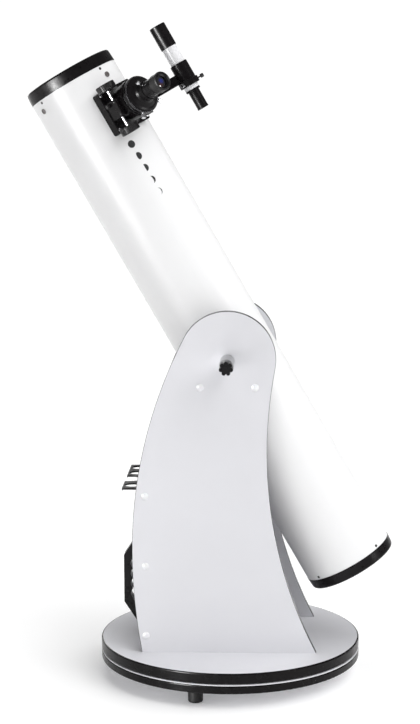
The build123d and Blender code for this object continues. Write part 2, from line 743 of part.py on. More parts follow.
def end_ring(height):
    """A moulded end ring, standing on the tube's end at Z = 0, with a lip inside it."""
    lip = TUBE_RADIUS - TUBE_WALL - 0.1
    ring = turned(
        (RING_BORE, -RING_LIP_DEPTH),
        (lip, -RING_LIP_DEPTH),
        (lip, 0.0),
        (TUBE_RADIUS + 0.6, 0.0),
        (TUBE_RADIUS + 0.4, 2.0),
        (TUBE_RADIUS - 1.0, height),
        (RING_BORE, height),
    )
    top = ring.edges().group_by(Axis.Z)[-1]
    ring = fillet([edge for edge in top if edge.radius > RING_BORE + 1.0], RING_ROUNDING)
    top = ring.edges().group_by(Axis.Z)[-1]
    return chamfer([edge for edge in top if edge.radius < RING_BORE + 1.0], 1.0)


REAR_OPENING = 52.0
COLLIMATION_RADIUS = 3.0


def make_front_ring():
    ring = Pos(0, 0, TUBE_TOP) * end_ring(FRONT_RING_HEIGHT)
    for frame in ring_screw_frames()[0::2]:
        ring -= screw_hole(frame, RING_SCREW_RADIUS + RUNNING_CLEARANCE, -RING_SCREW_BITE, 0.0)
    return ring


def make_rear_ring():
    """The rear end ring, with the inner flange that carries the mirror cell."""
    ring = Pos(0, 0, TUBE_BOTTOM) * Rot(180, 0, 0) * end_ring(REAR_RING_HEIGHT)
    thickness = REAR_FLANGE_HIGH - REAR_FLANGE_LOW
    ring += pipe(RING_BORE + 1.0, REAR_OPENING, thickness, REAR_FLANGE_LOW)
    for angle in COLLIMATION_ANGLES:
        x, y = polar(COLLIMATION_CIRCLE, angle)
        ring -= Pos(x, y, 0) * rod(COLLIMATION_RADIUS + RUNNING_CLEARANCE, thickness, REAR_FLANGE_LOW)
    for frame in ring_screw_frames()[1::2]:
        ring -= screw_hole(frame, RING_SCREW_RADIUS + RUNNING_CLEARANCE, -RING_SCREW_BITE, 0.0)
    return ring


def make_tube_screws():
    """The small screws of the end rings, the spider's larger ones and the finder shoe's."""
    small = pan_screw(2.7, 1.7, RING_SCREW_RADIUS, 6.5)
    head = dome(5.2, 3.2, 1.6) - Pos(0, 0, 3.2) * extrude(RegularPolygon(2.2, 6), 1.6, both=True)
    large = head + rod(SPIDER_SCREW_RADIUS, 7.0, -7.0)
    sunk = Pos(0, 0, SHOE_SCREW_SEAT) * pan_screw(SHOE_SCREW_HEAD, 2.0, SHOE_SCREW_RADIUS, 7.5)
    screws = [frame * small for frame in ring_screw_frames()]
    screws += [frame * large for frame in spider_screw_frames()]
    return group(screws + [frame * sunk for frame in shoe_screw_frames()])


def make_primary_mirror():
    """A thick glass disc with a shallow concave front."""
    front = MIRROR_BACK + MIRROR_THICKNESS
    sag = MIRROR_RADIUS**2 / (4 * FOCAL_LENGTH)
    half = MIRROR_RADIUS / 2
    bowl = Plane.XZ * ThreePointArc((0, front - sag), (half, front - 0.75 * sag), (MIRROR_RADIUS, front))
    sides = Plane.XZ * Polyline(
        (MIRROR_RADIUS, front), (MIRROR_RADIUS, MIRROR_BACK), (0, MIRROR_BACK), (0, front - sag)
    )
    return revolve(make_face(Curve() + bowl + sides), Axis.Z)


CELL_RADIUS = 80.0
CELL_WINDOW_RADIUS = 17.0
CELL_WINDOW_CIRCLE = 44.0


def make_mirror_cell():
    """A cast disc with three windows and three clips that hold the mirror's edge."""
    cell = rod(CELL_RADIUS, CELL_HIGH - CELL_LOW, CELL_LOW)
    for angle in COLLIMATION_ANGLES:
        x, y = polar(CELL_WINDOW_CIRCLE, angle + 60)
        cell -= Pos(x, y, 0) * rod(CELL_WINDOW_RADIUS, CELL_HIGH - CELL_LOW, CELL_LOW)
        x, y = polar(COLLIMATION_CIRCLE, angle)
        hole = rod(COLLIMATION_RADIUS + RUNNING_CLEARANCE, CELL_HIGH - CELL_LOW, CELL_LOW)
        cell -= Pos(x, y, 0) * hole
    top = MIRROR_BACK + MIRROR_THICKNESS + 0.3
    for angle in COLLIMATION_ANGLES:
        post = Pos(78.6, 0, 0) * block(3.4, 12.0, CELL_HIGH, top + 2.2)
        finger = Pos(76.0, 0, 0) * block(6.0, 12.0, top, top + 2.2)
        pad = Pos(48.0, 0, 0) * block(12.0, 12.0, CELL_HIGH, MIRROR_BACK)
        cell += Rot(0, 0, angle + 60) * (post + finger)
        cell += Rot(0, 0, angle) * pad
    return cell


COLLIMATION_KNOB_LENGTH = 12.0
COLLIMATION_PLAY = 0.6


def make_collimation_knob(angle):
    x, y = polar(COLLIMATION_CIRCLE, angle)
    length = COLLIMATION_KNOB_LENGTH
    knob = fluted(9.0, length, 1.2, 12, 1.0)
    shaft = rod(COLLIMATION_RADIUS, CELL_HIGH - REAR_FLANGE_LOW + COLLIMATION_PLAY)
    knob = knob + Pos(0, 0, length) * shaft
    return Pos(x, y, REAR_FLANGE_LOW - length - COLLIMATION_PLAY) * knob


def make_collimation_springs():
    height = CELL_LOW - REAR_FLANGE_HIGH
    spring = Pos(0, 0, REAR_FLANGE_HIGH + 1.0) * coil(5.6, 0.9, 2.9, height - 2.0)
    return group(Pos(*polar(COLLIMATION_CIRCLE, angle), 0) * spring for angle in COLLIMATION_ANGLES)


SPIDER_HUB_LOW = 571.0
SPIDER_HUB_HIGH = 595.0
SPIDER_HUB_RADIUS = 17.0
VANE_WIDTH = 18.0
VANE_THICKNESS = 1.2
VANE_FOOT_RADIUS = 4.5
STEM_RADIUS = 3.0


def make_spider():
    """A hub on four thin vanes, each with a threaded block against the tube's wall."""
    spider = rod(SPIDER_HUB_RADIUS, SPIDER_HUB_HIGH - SPIDER_HUB_LOW, SPIDER_HUB_LOW)
    spider = chamfer(spider.edges().filter_by(GeomType.CIRCLE), 1.0)
    wall = TUBE_RADIUS - TUBE_WALL - 0.4
    for angle in SPIDER_ANGLES:
        frame = on_tube(angle, SPIDER_ALONG)
        vane = block(VANE_WIDTH, VANE_THICKNESS, SPIDER_HUB_RADIUS - 2.0, wall - 5.0)
        foot = rod(VANE_FOOT_RADIUS, 8.0, wall - 8.0)
        spider += frame * (vane + foot)
    for angle in SPIDER_ANGLES:
        frame = on_tube(angle, SPIDER_ALONG)
        spider -= frame * rod(SPIDER_SCREW_RADIUS + RUNNING_CLEARANCE, 7.0, wall - 7.0)
    spider -= rod(STEM_RADIUS + RUNNING_CLEARANCE, 30.0, SPIDER_HUB_LOW - 1)
    return spider


DIAGONAL_RADIUS = 20.0
DIAGONAL_THICKNESS = 6.0
HOLDER_TOP = 558.0


def diagonal_slab(low, high):
    """Space between two planes that face half-way between the mirror and the focuser."""
    normal = around(FOCUSER_ANGLE) - Vector(0, 0, 1)
    frame = facing((0, 0, FOCUSER_ALONG), normal)
    return frame * block(200.0, 200.0, low, high)


def make_secondary_mirror():
    return rod(DIAGONAL_RADIUS, 100.0, FOCUSER_ALONG - 50) & diagonal_slab(-DIAGONAL_THICKNESS, 0)


def make_secondary_holder():
    top = HOLDER_TOP
    stub = rod(DIAGONAL_RADIUS - 1.5, top - FOCUSER_ALONG + 50, FOCUSER_ALONG - 50)
    holder = stub & diagonal_slab(-120.0, -DIAGONAL_THICKNESS - 0.05)
    stem = rod(STEM_RADIUS, SPIDER_HUB_HIGH + 4.0 - top, top)
    nut = Pos(0, 0, SPIDER_HUB_HIGH + 0.3) * extrude(RegularPolygon(6.0, 6), 4.0)
    return holder + stem + nut


# ---- Focuser (its own frame: +Z out of the tube, +X to the sky, +Y to the pinion) --
def make_focuser_housing():
    plate = block(PLATE_LENGTH, PLATE_WIDTH, 60.0, PLATE_TOP)
    plate = fillet(plate.edges().filter_by(Axis.Z), 4.0)
    plate -= Rot(0, 90, 0) * rod(TUBE_RADIUS + 0.05, 200.0, -100.0)
    plate = chamfer(plate.faces().sort_by(Axis.Z)[-1].edges(), 1.2)
    barrel = turned(
        (0, PLATE_TOP - 10),
        (BARREL_RADIUS + 4.5, PLATE_TOP - 10),
        (BARREL_RADIUS + 4.5, PLATE_TOP + 1.5),
        (BARREL_RADIUS + 3.0, PLATE_TOP + 3.0),
        (BARREL_RADIUS + 0.8, PLATE_TOP + 7.0),
        (BARREL_RADIUS, PLATE_TOP + 12.0),
        (BARREL_RADIUS, BARREL_TOP - 9.0),
        (BARREL_RIM, BARREL_TOP - 7.5),
        (BARREL_RIM, BARREL_TOP - 1.2),
        (BARREL_RIM - 1.2, BARREL_TOP),
        (0, BARREL_TOP),
    )
    saddle = Rot(0, 90, 0) * rod(TUBE_RADIUS + 0.05, 200.0, -100.0)
    boss = Pos(0, 32.0, 0) * block(36.0, 18.0, PLATE_TOP - 3, COVER_HIGH - 1.0)
    boss = fillet(boss.edges().filter_by(Axis.Z), 2.0)
    housing = plate + (barrel - saddle) + boss
    housing -= rod(DRAWTUBE_RADIUS + 0.35, 100.0, 60.0)
    housing -= Pos(0, 26.0, 0) * block(12.0, 10.0, 60.0, 150.0)
    housing -= Pos(0, 35.0, 0) * block(15.0, 14.0, PINION_HEIGHT - 7.5, PINION_HEIGHT + 7.5)
    housing -= rod_x(SHAFT_RADIUS + RUNNING_CLEARANCE, -30.0, 30.0, PINION_OFFSET, PINION_HEIGHT)
    for x in (-PLATE_SCREW_X, PLATE_SCREW_X):
        for y in (-PLATE_SCREW_Y, PLATE_SCREW_Y):
            housing -= Pos(x, y, 0) * rod(PLATE_SCREW_RADIUS + RUNNING_CLEARANCE, 50.0, 60.0)
    for x in COVER_SCREW_X:
        housing -= rod_y(COVER_SCREW_RADIUS + RUNNING_CLEARANCE, x, COVER_SCREW_HEIGHT, 32.0, 41.0)
    hole = LOCK_RADIUS + RUNNING_CLEARANCE
    housing -= rod_y(hole, LOCK_X, LOCK_HEIGHT, LOCK_START - 1.0, 41.0)
    return housing


COVER_SCREW_X = (-12.5, 12.5)
COVER_SCREW_HEIGHT = 130.0
COVER_SCREW_RADIUS = 1.3
LOCK_X = 11.5
LOCK_HEIGHT = 113.0
LOCK_RADIUS = 2.0
LOCK_START = 39.5
LOCK_HEAD_START = 47.0


def make_pinion_cover():
    """The plate that holds the pinion shaft against the rack."""
    cover = Pos(0, (COVER_FACE + 41.05) / 2, 0) * block(34.0, COVER_FACE - 41.05, COVER_LOW, COVER_HIGH)
    cover = fillet(cover.edges().filter_by(Axis.Y), 3.0)
    cover = chamfer(cover.faces().sort_by(Axis.Y)[-1].edges(), 0.8)
    for x in COVER_SCREW_X:
        cover -= rod_y(COVER_SCREW_RADIUS + RUNNING_CLEARANCE, x, COVER_SCREW_HEIGHT, 40.0, 50.0)
    return cover - rod_y(LOCK_RADIUS + RUNNING_CLEARANCE, LOCK_X, LOCK_HEIGHT, 40.0, 50.0)


def make_focuser_screws():
    plate_screw = pan_screw(3.4, 2.4, PLATE_SCREW_RADIUS, 21.0)
    cover_screw = pan_screw(2.2, 1.5, COVER_SCREW_RADIUS, 12.0)
    screws = [frame * plate_screw for frame in plate_screw_frames()]
    for x in COVER_SCREW_X:
        place = facing((x, COVER_FACE, COVER_SCREW_HEIGHT), (0, 1, 0))
        screws.append(FOCUSER_FRAME * place * cover_screw)
    return group(screws)


def make_focus_lock_screw():
    """The small thumbscrew through the pinion cover, whose tip stays clear of the pinion."""
    screw = thumbscrew(LOCK_RADIUS, LOCK_HEAD_START - LOCK_START, 3.8, 5.5)
    return facing((LOCK_X, LOCK_START, LOCK_HEIGHT), (0, 1, 0)) * screw


def make_focus_pinion():
    """The pinion and its shaft, along X, cut from one bar."""
    pitch_radius = PINION_MODULE * PINION_TEETH / 2
    root = pitch_radius - 1.2 * PINION_MODULE
    tip = pitch_radius + 0.85 * PINION_MODULE
    tooth = make_face(Polyline(
        (root - 0.5, -0.95), (tip, -0.28), (tip, 0.28), (root - 0.5, 0.95), close=True
    ))
    start = 180.0 / PINION_TEETH
    gear = Circle(root) + PolarLocations(0, PINION_TEETH, start_angle=start) * tooth
    half = FOCUS_KNOB_CENTRE + FOCUS_KNOB_LENGTH / 2 - 3.0
    shaft = rod(SHAFT_RADIUS, 2 * half, -half) + extrude(gear, 6.0, both=True)
    place = facing((0, PINION_OFFSET, PINION_HEIGHT), (1, 0, 0), (0, 1, 0))
    return place * shaft


def make_focus_knobs():
    """Two ribbed knobs, one on each end of the pinion shaft."""
    length = FOCUS_KNOB_LENGTH
    grip = fluted(FOCUS_KNOB_RADIUS, length, 0.9, 36, 1.2)
    dish = turned((0, length - 1.6), (13.0, length - 1.6), (14.5, length), (0, length))
    knob = grip - dish - rod(SHAFT_RADIUS + 0.02, length - 3.0)
    start = FOCUS_KNOB_CENTRE - length / 2
    knobs = []
    for side in (-1, 1):
        place = facing((side * start, PINION_OFFSET, PINION_HEIGHT), (side, 0, 0), (0, 1, 0))
        knobs.append(place * knob)
    return group(knobs)


def make_drawtube():
    """The 2 inch drawtube, with its flange at the top and the rack down its side."""
    tube = rod(DRAWTUBE_RADIUS, COLLAR_BOTTOM - DRAWTUBE_BOTTOM, DRAWTUBE_BOTTOM)
    flange = rod(DRAWTUBE_FLANGE, COLLAR_BOTTOM - BARREL_TOP - 1.0, BARREL_TOP + 1.0)
    pitch = pi * PINION_MODULE
    pitch_line = PINION_OFFSET - PINION_MODULE * PINION_TEETH / 2
    root = pitch_line - 1.1 * PINION_MODULE
    tip = pitch_line + 0.8 * PINION_MODULE
    low = DRAWTUBE_BOTTOM + 2.0
    high = low + RACK_TEETH * pitch + 6.0
    bar = Pos(0, (root + 24.0) / 2, 0) * block(9.0, root - 24.0, low, high)
    tooth = make_face(Polyline(
        (root - 0.4, -0.9), (tip, -0.28), (tip, 0.28), (root - 0.4, 0.9), close=True
    ))
    tooth = facing((0, 0, 0), (1, 0, 0), (0, 1, 0)) * extrude(tooth, 4.0, both=True)
    teeth = []
    first = PINION_HEIGHT - int((PINION_HEIGHT - low) / pitch) * pitch
    for index in range(RACK_TEETH):
        teeth.append(Pos(0, 0, first + index * pitch) * tooth)
    return tube + flange + bar + teeth - rod(DRAWTUBE_BORE, 100.0, 60.0)


COLLAR_SCREW_ANGLES = (128.0, 209.0)
ADAPTER_SCREW_ANGLE = 331.0


def radial_frame(angle, height, radius):
    """In the focuser's frame: +Z radially outwards, angle from the sky side."""
    turn = radians(angle)
    out = Vector(cos(turn), -sin(turn), 0)
    return facing(out * radius + Vector(0, 0, height), out, (0, 0, 1))


def make_drawtube_collar():
    collar = turned(
        (DRAWTUBE_BORE, COLLAR_BOTTOM),
        (COLLAR_RADIUS - 1.0, COLLAR_BOTTOM),
        (COLLAR_RADIUS, COLLAR_BOTTOM + 1.0),
        (COLLAR_RADIUS, COLLAR_TOP - 1.2),
        (COLLAR_RADIUS - 1.2, COLLAR_TOP),
        (DRAWTUBE_BORE, COLLAR_TOP),
    )
    height = (COLLAR_TOP + COLLAR_BOTTOM) / 2
    for angle in COLLAR_SCREW_ANGLES:
        collar -= radial_frame(angle, height, 20.0) * rod(2.0 + RUNNING_CLEARANCE, 30.0)
    return collar


def make_collar_thumbscrew(angle):
    height = (COLLAR_TOP + COLLAR_BOTTOM) / 2
    return radial_frame(angle, height, DRAWTUBE_BORE + 0.4) * thumbscrew(2.0, 13.0, 4.3, 7.5)


def make_eyepiece_adapter():
    """The 2 inch to 1.25 inch adapter: a stepped cone on a plug."""
    adapter = turned(
        (EYEPIECE_BORE, COLLAR_TOP - 22.0),
        (DRAWTUBE_BORE - 0.1, COLLAR_TOP - 22.0),
        (DRAWTUBE_BORE - 0.1, COLLAR_TOP + 0.05),
        (33.5, COLLAR_TOP + 0.05),
        (33.5, COLLAR_TOP + 1.4),
        (32.0, COLLAR_TOP + 2.6),
        (28.5, COLLAR_TOP + 4.0),
        (ADAPTER_NECK + 2.2, COLLAR_TOP + 9.0),
        (ADAPTER_NECK, COLLAR_TOP + 12.5),
        (ADAPTER_NECK, ADAPTER_TOP - 0.8),
        (ADAPTER_NECK - 0.8, ADAPTER_TOP),
        (EYEPIECE_BORE, ADAPTER_TOP),
    )
    hole = radial_frame(ADAPTER_SCREW_ANGLE, ADAPTER_TOP - ADAPTER_SCREW_DROP, 10.0)
    return adapter - hole * rod(1.6 + RUNNING_CLEARANCE, 20.0)


def make_adapter_thumbscrew():
    height = ADAPTER_TOP - ADAPTER_SCREW_DROP
    frame = radial_frame(ADAPTER_SCREW_ANGLE, height, EYEPIECE_BORE + 0.4)
    return frame * thumbscrew(1.6, 4.2, 3.6, 5.5)


EYEPIECE_WAIST = 208.0
LENS_HEIGHT = 221.0
LENS_RADIUS = 11.4


def make_eyepiece_body():
    """A Ploessl-type eyepiece: a plug barrel, a grip band and a tapered top."""
    body = turned(
        (13.8, 148.0),
        (EYEPIECE_BARREL, 148.0),
        (EYEPIECE_BARREL, ADAPTER_TOP + 0.1),
        (EYEPIECE_RADIUS - 0.6, ADAPTER_TOP + 0.1),
        (EYEPIECE_RADIUS, ADAPTER_TOP + 0.8),
        (EYEPIECE_RADIUS, 189.0),
        (EYEPIECE_RADIUS - 0.8, 190.0),
        (EYEPIECE_RADIUS - 0.8, 204.0),
        (EYEPIECE_RADIUS - 1.6, EYEPIECE_WAIST),
        (EYEPIECE_RADIUS - 2.7, EYEPIECE_WAIST),
        (EYEPIECE_RADIUS - 2.7, LENS_HEIGHT + 3.2),
        (LENS_RADIUS + 0.1, LENS_HEIGHT + 2.4),
        (LENS_RADIUS + 0.1, LENS_HEIGHT - 1.0),
        (9.5, LENS_HEIGHT - 1.0),
        (9.5, 175.0),
        (13.8, 172.0),
    )
    grooves = PolarLocations(EYEPIECE_RADIUS - 0.7, 32) * rod(0.55, 11.0, 191.5)
    return body - grooves


def make_eyepiece_eyecup():
    """A rubber eyecup that folds over the top of the eyepiece."""
    return turned(
        (EYEPIECE_RADIUS - 2.65, EYEPIECE_WAIST + 0.1),
        (EYECUP_RADIUS - 0.9, EYEPIECE_WAIST + 0.1),
        (EYECUP_RADIUS, EYEPIECE_WAIST + 1.2),
        (EYECUP_RADIUS - 0.5, EYEPIECE_WAIST + 9.0),
        (EYECUP_RADIUS, EYECUP_TOP - 1.6),
        (EYECUP_RADIUS - 0.8, EYECUP_TOP),
        (EYECUP_RADIUS - 2.4, EYECUP_TOP),
        (EYEPIECE_RADIUS - 2.65, LENS_HEIGHT + 3.0),
    )


def lens(radius, edge, bulge, height):
    """A convex lens whose lower face is flat."""
    top = height + edge
    crown = Plane.XZ * ThreePointArc((0, top + bulge), (radius / 2, top + 0.75 * bulge), (radius, top))
    sides = Plane.XZ * Polyline((radius, top), (radius, height), (0, height), (0, top + bulge))
    return revolve(make_face(Curve() + crown + sides), Axis.Z)


def make_eyepiece_lens():
    return lens(LENS_RADIUS, 1.4, 1.1, LENS_HEIGHT - 0.9)


# ---- Finder scope (its own frame: +Z along the finder to the sky, -X to the tube) --
FOOT_TOP_WIDTH = 20.0
FOOT_BASE_WIDTH = 26.0
FOOT_LOW = 96.0
SHOE_LOCK_RADIUS = 2.0


def dovetail(low, high, grow):
    """A dovetail bar along the tube, from its wide base up, at the tube's distances."""
    base = FOOT_BASE_WIDTH / 2 + grow
    top = FOOT_TOP_WIDTH / 2 + grow
    section = make_face(Polyline((low, -base), (high, -top), (high, top), (low, base), close=True))
    return extrude(section, SHOE_LENGTH)


def make_finder_shoe():
    bottom = STALK_CENTRE - SHOE_LENGTH / 2
    shoe = Pos(96.0, 0, bottom) * Box(20.0, SHOE_WIDTH, SHOE_LENGTH, align=LOW)
    shoe = fillet(shoe.edges().filter_by(Axis.X), 2.5)
    shoe -= rod(TUBE_RADIUS + 0.05, 1400.0, -600.0)
    shoe -= Pos(0, 0, bottom) * dovetail(FOOT_LOW - 0.2, SHOE_TOP + 0.01, 0.2)
    for frame in shoe_screw_frames():
        shoe -= screw_hole(frame, SHOE_SCREW_RADIUS + RUNNING_CLEARANCE, -2.0, 12.0)
        shoe -= screw_hole(frame, SHOE_SCREW_HEAD + 0.3, SHOE_SCREW_SEAT, 12.0)
    lock = facing((SHOE_TOP - 4.6, 0, STALK_CENTRE), (0, 1, 0))
    return shoe - lock * rod(SHOE_LOCK_RADIUS + RUNNING_CLEARANCE, 30.0)


def make_shoe_lock_screw():
    frame = facing((SHOE_TOP - 4.6, FOOT_TOP_WIDTH / 2 + 2.4, STALK_CENTRE), (0, 1, 0))
    return frame * thumbscrew(SHOE_LOCK_RADIUS, 9.0, 4.6, 7.0)


def finder_radial_frame(angle, along, radius):
    turn = radians(angle)
    out = Vector(cos(turn), -sin(turn), 0)
    return facing(out * radius + Vector(0, 0, along), out, (0, 0, 1))


FINDER_SCREW_ALONG = (BRACKET_STEP + BRACKET_BOTTOM) / 2
FINDER_SCREW_RADIUS = 1.6
PLUNGER_RADIUS = 2.6
PLUNGER_REACH = 26.0


def make_finder_bracket():
    """Ring, flange, stalk and dovetail foot in one casting."""
    ring = rod(BRACKET_RADIUS, BRACKET_TOP - BRACKET_STEP, BRACKET_STEP)
    ring = chamfer(ring.edges().group_by(Axis.Z)[-1], 0.8)
    flange = rod(BRACKET_FLANGE_RADIUS, BRACKET_STEP - BRACKET_BOTTOM, BRACKET_BOTTOM)
    flange = chamfer(flange.edges().filter_by(GeomType.CIRCLE), 0.8)
    boss = finder_radial_frame(PLUNGER_ANGLE, FINDER_SCREW_ALONG, 18.0) * rod(4.4, PLUNGER_REACH - 18.0)
    body = Pos(FINDER_DISTANCE, 0, 0) * (ring + flange + boss)

    low = STALK_CENTRE - STALK_WIDTH / 2
    reach = FINDER_DISTANCE - 15.0
    outline = make_face(Polyline(
        (SHOE_TOP - 2, -9.0), (SHOE_TOP + 8, -6.0), (reach, -5.0),
        (reach, 5.0), (SHOE_TOP + 8, 6.0), (SHOE_TOP - 2, 9.0), close=True,
    ))
    stalk = Pos(0, 0, low) * extrude(outline, STALK_WIDTH)
    stalk = fillet([edge for edge in stalk.edges() if edge.length > 30], 1.5)
    foot = Pos(0, 0, STALK_CENTRE - SHOE_LENGTH / 2) * dovetail(FOOT_LOW, SHOE_TOP, 0.0)
    bracket = body + stalk + foot

    bore = rod(FINDER_TUBE_RADIUS + 0.3, BRACKET_TOP - BRACKET_BOTTOM - 3.0, BRACKET_BOTTOM)
    bore += rod(FINDER_TUBE_RADIUS + 0.02, 3.0, BRACKET_TOP - 3.0)
    plunger_hole = finder_radial_frame(PLUNGER_ANGLE, FINDER_SCREW_ALONG, 10.0)
    bore += plunger_hole * rod(PLUNGER_RADIUS + RUNNING_CLEARANCE, 20.0)
    bracket -= Pos(FINDER_DISTANCE, 0, 0) * bore
    for angle in FINDER_SCREW_ANGLES:
        hole = finder_radial_frame(angle, FINDER_SCREW_ALONG, 10.0)
        hole = hole * rod(FINDER_SCREW_RADIUS + RUNNING_CLEARANCE, 20.0)
        bracket -= Pos(FINDER_DISTANCE, 0, 0) * hole
    return bracket


def make_finder_screw(angle):
    frame = finder_radial_frame(angle, FINDER_SCREW_ALONG, FINDER_TUBE_RADIUS + 0.3)
    return FINDER_FRAME * frame * thumbscrew(FINDER_SCREW_RADIUS, 10.0, 4.0, 7.0)


def make_finder_plunger():
    """The sprung pin that pushes the finder against its two adjusting screws."""
    start = FINDER_TUBE_RADIUS + 0.3
    pin = rod(PLUNGER_RADIUS, PLUNGER_REACH - start)
    pin = fillet(pin.edges().group_by(Axis.Z)[0], 1.6)
    cap = Pos(0, 0, PLUNGER_REACH - start) * dome(4.0, 2.0, 0.8)
    frame = finder_radial_frame(PLUNGER_ANGLE, FINDER_SCREW_ALONG, start)
    return FINDER_FRAME * frame * (pin + cap)


def make_finder_tube():
    length = FINDER_CELL_BOTTOM + 8.0 - FINDER_EYEPIECE_TOP
    return FINDER_FRAME * pipe(FINDER_TUBE_RADIUS, FINDER_TUBE_RADIUS - 1.2, length, FINDER_EYEPIECE_TOP)


FINDER_LENS_HEIGHT = 590.0


def make_finder_objective_cell():
    """The lens cell, with a dew shield in front of the lens."""
    inner = FINDER_TUBE_RADIUS + 0.05
    cell = turned(
        (inner, FINDER_CELL_BOTTOM),
        (FINDER_CELL_RADIUS - 0.6, FINDER_CELL_BOTTOM),
        (FINDER_CELL_RADIUS, FINDER_CELL_BOTTOM + 0.6),
        (FINDER_CELL_RADIUS, FINDER_CELL_TOP - 1.0),
        (FINDER_CELL_RADIUS - 0.8, FINDER_CELL_TOP),
        (FINDER_CELL_RADIUS - 1.8, FINDER_CELL_TOP),
        (FINDER_CELL_RADIUS - 1.8, FINDER_LENS_HEIGHT),
        (12.6, FINDER_LENS_HEIGHT),
        (12.6, FINDER_CELL_BOTTOM + 8.1),
        (inner, FINDER_CELL_BOTTOM + 8.1),
    )
    return FINDER_FRAME * cell


def make_finder_objective_lens():
    return FINDER_FRAME * lens(FINDER_CELL_RADIUS - 1.85, 2.0, 1.6, FINDER_LENS_HEIGHT + 0.05)


def make_finder_eyepiece():
    """A flange and a long straight eyepiece with a slightly wider end."""
    top = FINDER_EYEPIECE_TOP - 0.05
    bottom = FINDER_EYEPIECE_BOTTOM
    shape = turned(
        (0, top - 7.0),
        (9.5, top - 7.0),
        (9.5, top),
        (14.9, top),
        (14.9, top - 4.0),
        (11.3, top - 4.0),
        (11.1, bottom + 3.4),
        (11.6, bottom + 2.8),
        (11.6, bottom + 0.6),
        (11.0, bottom),
        (7.0, bottom),
        (5.5, bottom + 3.0),
        (0, bottom + 3.0),
    )
    return FINDER_FRAME * shape


# ---- Nodes ------------------------------------------------------------------------
def make_nodes():
    board = make_side_board()
    trim = make_side_trim()
    screws = make_side_screws()
    caps = make_side_caps()
    cradle = make_cradle()
    both_screws = screws + [mirrored_y(screw) for screw in screws] + make_face_screws()
    hubs = [make_hub(-1), make_hub(1)]

    nodes = {
        "ground_board": make_ground_board(),
        "ground_edge_trim": edge_trim(FOOT_HEIGHT, GROUND_THICKNESS - LIP_THICKNESS),
        "feet": make_feet(),
        "foot_screws": make_foot_screws(),
        "bearing_pads": make_bearing_pads(),
        "azimuth_bolt": make_azimuth_bolt(),
        "turntable_board": make_turntable_board(),
        "turntable_edge_trim": edge_trim(TURNTABLE_BOTTOM, TURNTABLE_THICKNESS),
        "side_board_near": board,
        "side_board_far": mirrored_y(board),
        "side_edge_trims": group([trim, mirrored_y(trim)]),
        "front_panel": make_front_panel(),
        "screw_caps": group(caps + [mirrored_y(cap) for cap in caps]),
        "board_screws": group(both_screws),
        "altitude_cradles": group([cradle, mirrored_y(cradle)]),
        "eyepiece_rack": make_eyepiece_rack(),
        "carry_handle": make_carry_handle(),
        "tension_sleeve": make_tension_sleeve(),
        "tension_spring": make_tension_spring(),
        "tension_knob": make_tension_knob(),
        "far_pivot_bolt": make_far_pivot_bolt(),
    }
    on_tube_frame = {
        "altitude_hubs": group(hubs),
        "tube_shell": make_tube_shell(),
        "front_end_ring": make_front_ring(),
        "rear_end_ring": make_rear_ring(),
        "tube_screws": make_tube_screws(),
        "primary_mirror": make_primary_mirror(),
        "mirror_cell": make_mirror_cell(),
        "collimation_springs": make_collimation_springs(),
        "spider": make_spider(),
        "secondary_mirror": make_secondary_mirror(),
        "secondary_holder": make_secondary_holder(),
        "focuser_screws": make_focuser_screws(),
        "finder_shoe": make_finder_shoe(),
        "shoe_lock_screw": make_shoe_lock_screw(),
        "finder_bracket": make_finder_bracket(),
        "finder_plunger": make_finder_plunger(),
        "finder_tube": make_finder_tube(),
        "finder_objective_cell": make_finder_objective_cell(),
        "finder_objective_lens": make_finder_objective_lens(),
        "finder_eyepiece": make_finder_eyepiece(),
    }
    for index, angle in enumerate(COLLIMATION_ANGLES, start=1):
        on_tube_frame[f"collimation_knob_{index}"] = make_collimation_knob(angle)
    for index, angle in enumerate(FINDER_SCREW_ANGLES, start=1):
        on_tube_frame[f"finder_screw_{index}"] = make_finder_screw(angle)

    on_focuser_frame = {
        "focuser_housing": make_focuser_housing(),
        "pinion_cover": make_pinion_cover(),
        "focus_lock_screw": make_focus_lock_screw(),
        "focus_pinion": make_focus_pinion(),
        "focus_knobs": make_focus_knobs(),
        "drawtube": make_drawtube(),
        "drawtube_collar": make_drawtube_collar(),
        "eyepiece_adapter": make_eyepiece_adapter(),
        "adapter_thumbscrew": make_adapter_thumbscrew(),
        "eyepiece_body": make_eyepiece_body(),
        "eyepiece_eyecup": make_eyepiece_eyecup(),
        "eyepiece_lens": make_eyepiece_lens(),
    }
    for index, angle in enumerate(COLLAR_SCREW_ANGLES, start=1):
        on_focuser_frame[f"collar_thumbscrew_{index}"] = make_collar_thumbscrew(angle)

    for name, shape in on_focuser_frame.items():
        on_tube_frame[name] = FOCUSER_FRAME * shape
    for name, shape in on_tube_frame.items():
        nodes[name] = TUBE_FRAME * shape
    return nodes


os.makedirs("parts", exist_ok=True)
for node_name, node_shape in make_nodes().items():
    export_step(node_shape, f"parts/{node_name}.step")
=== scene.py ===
import json
import math

import bmesh
import bpy
from mathutils import Matrix, Vector


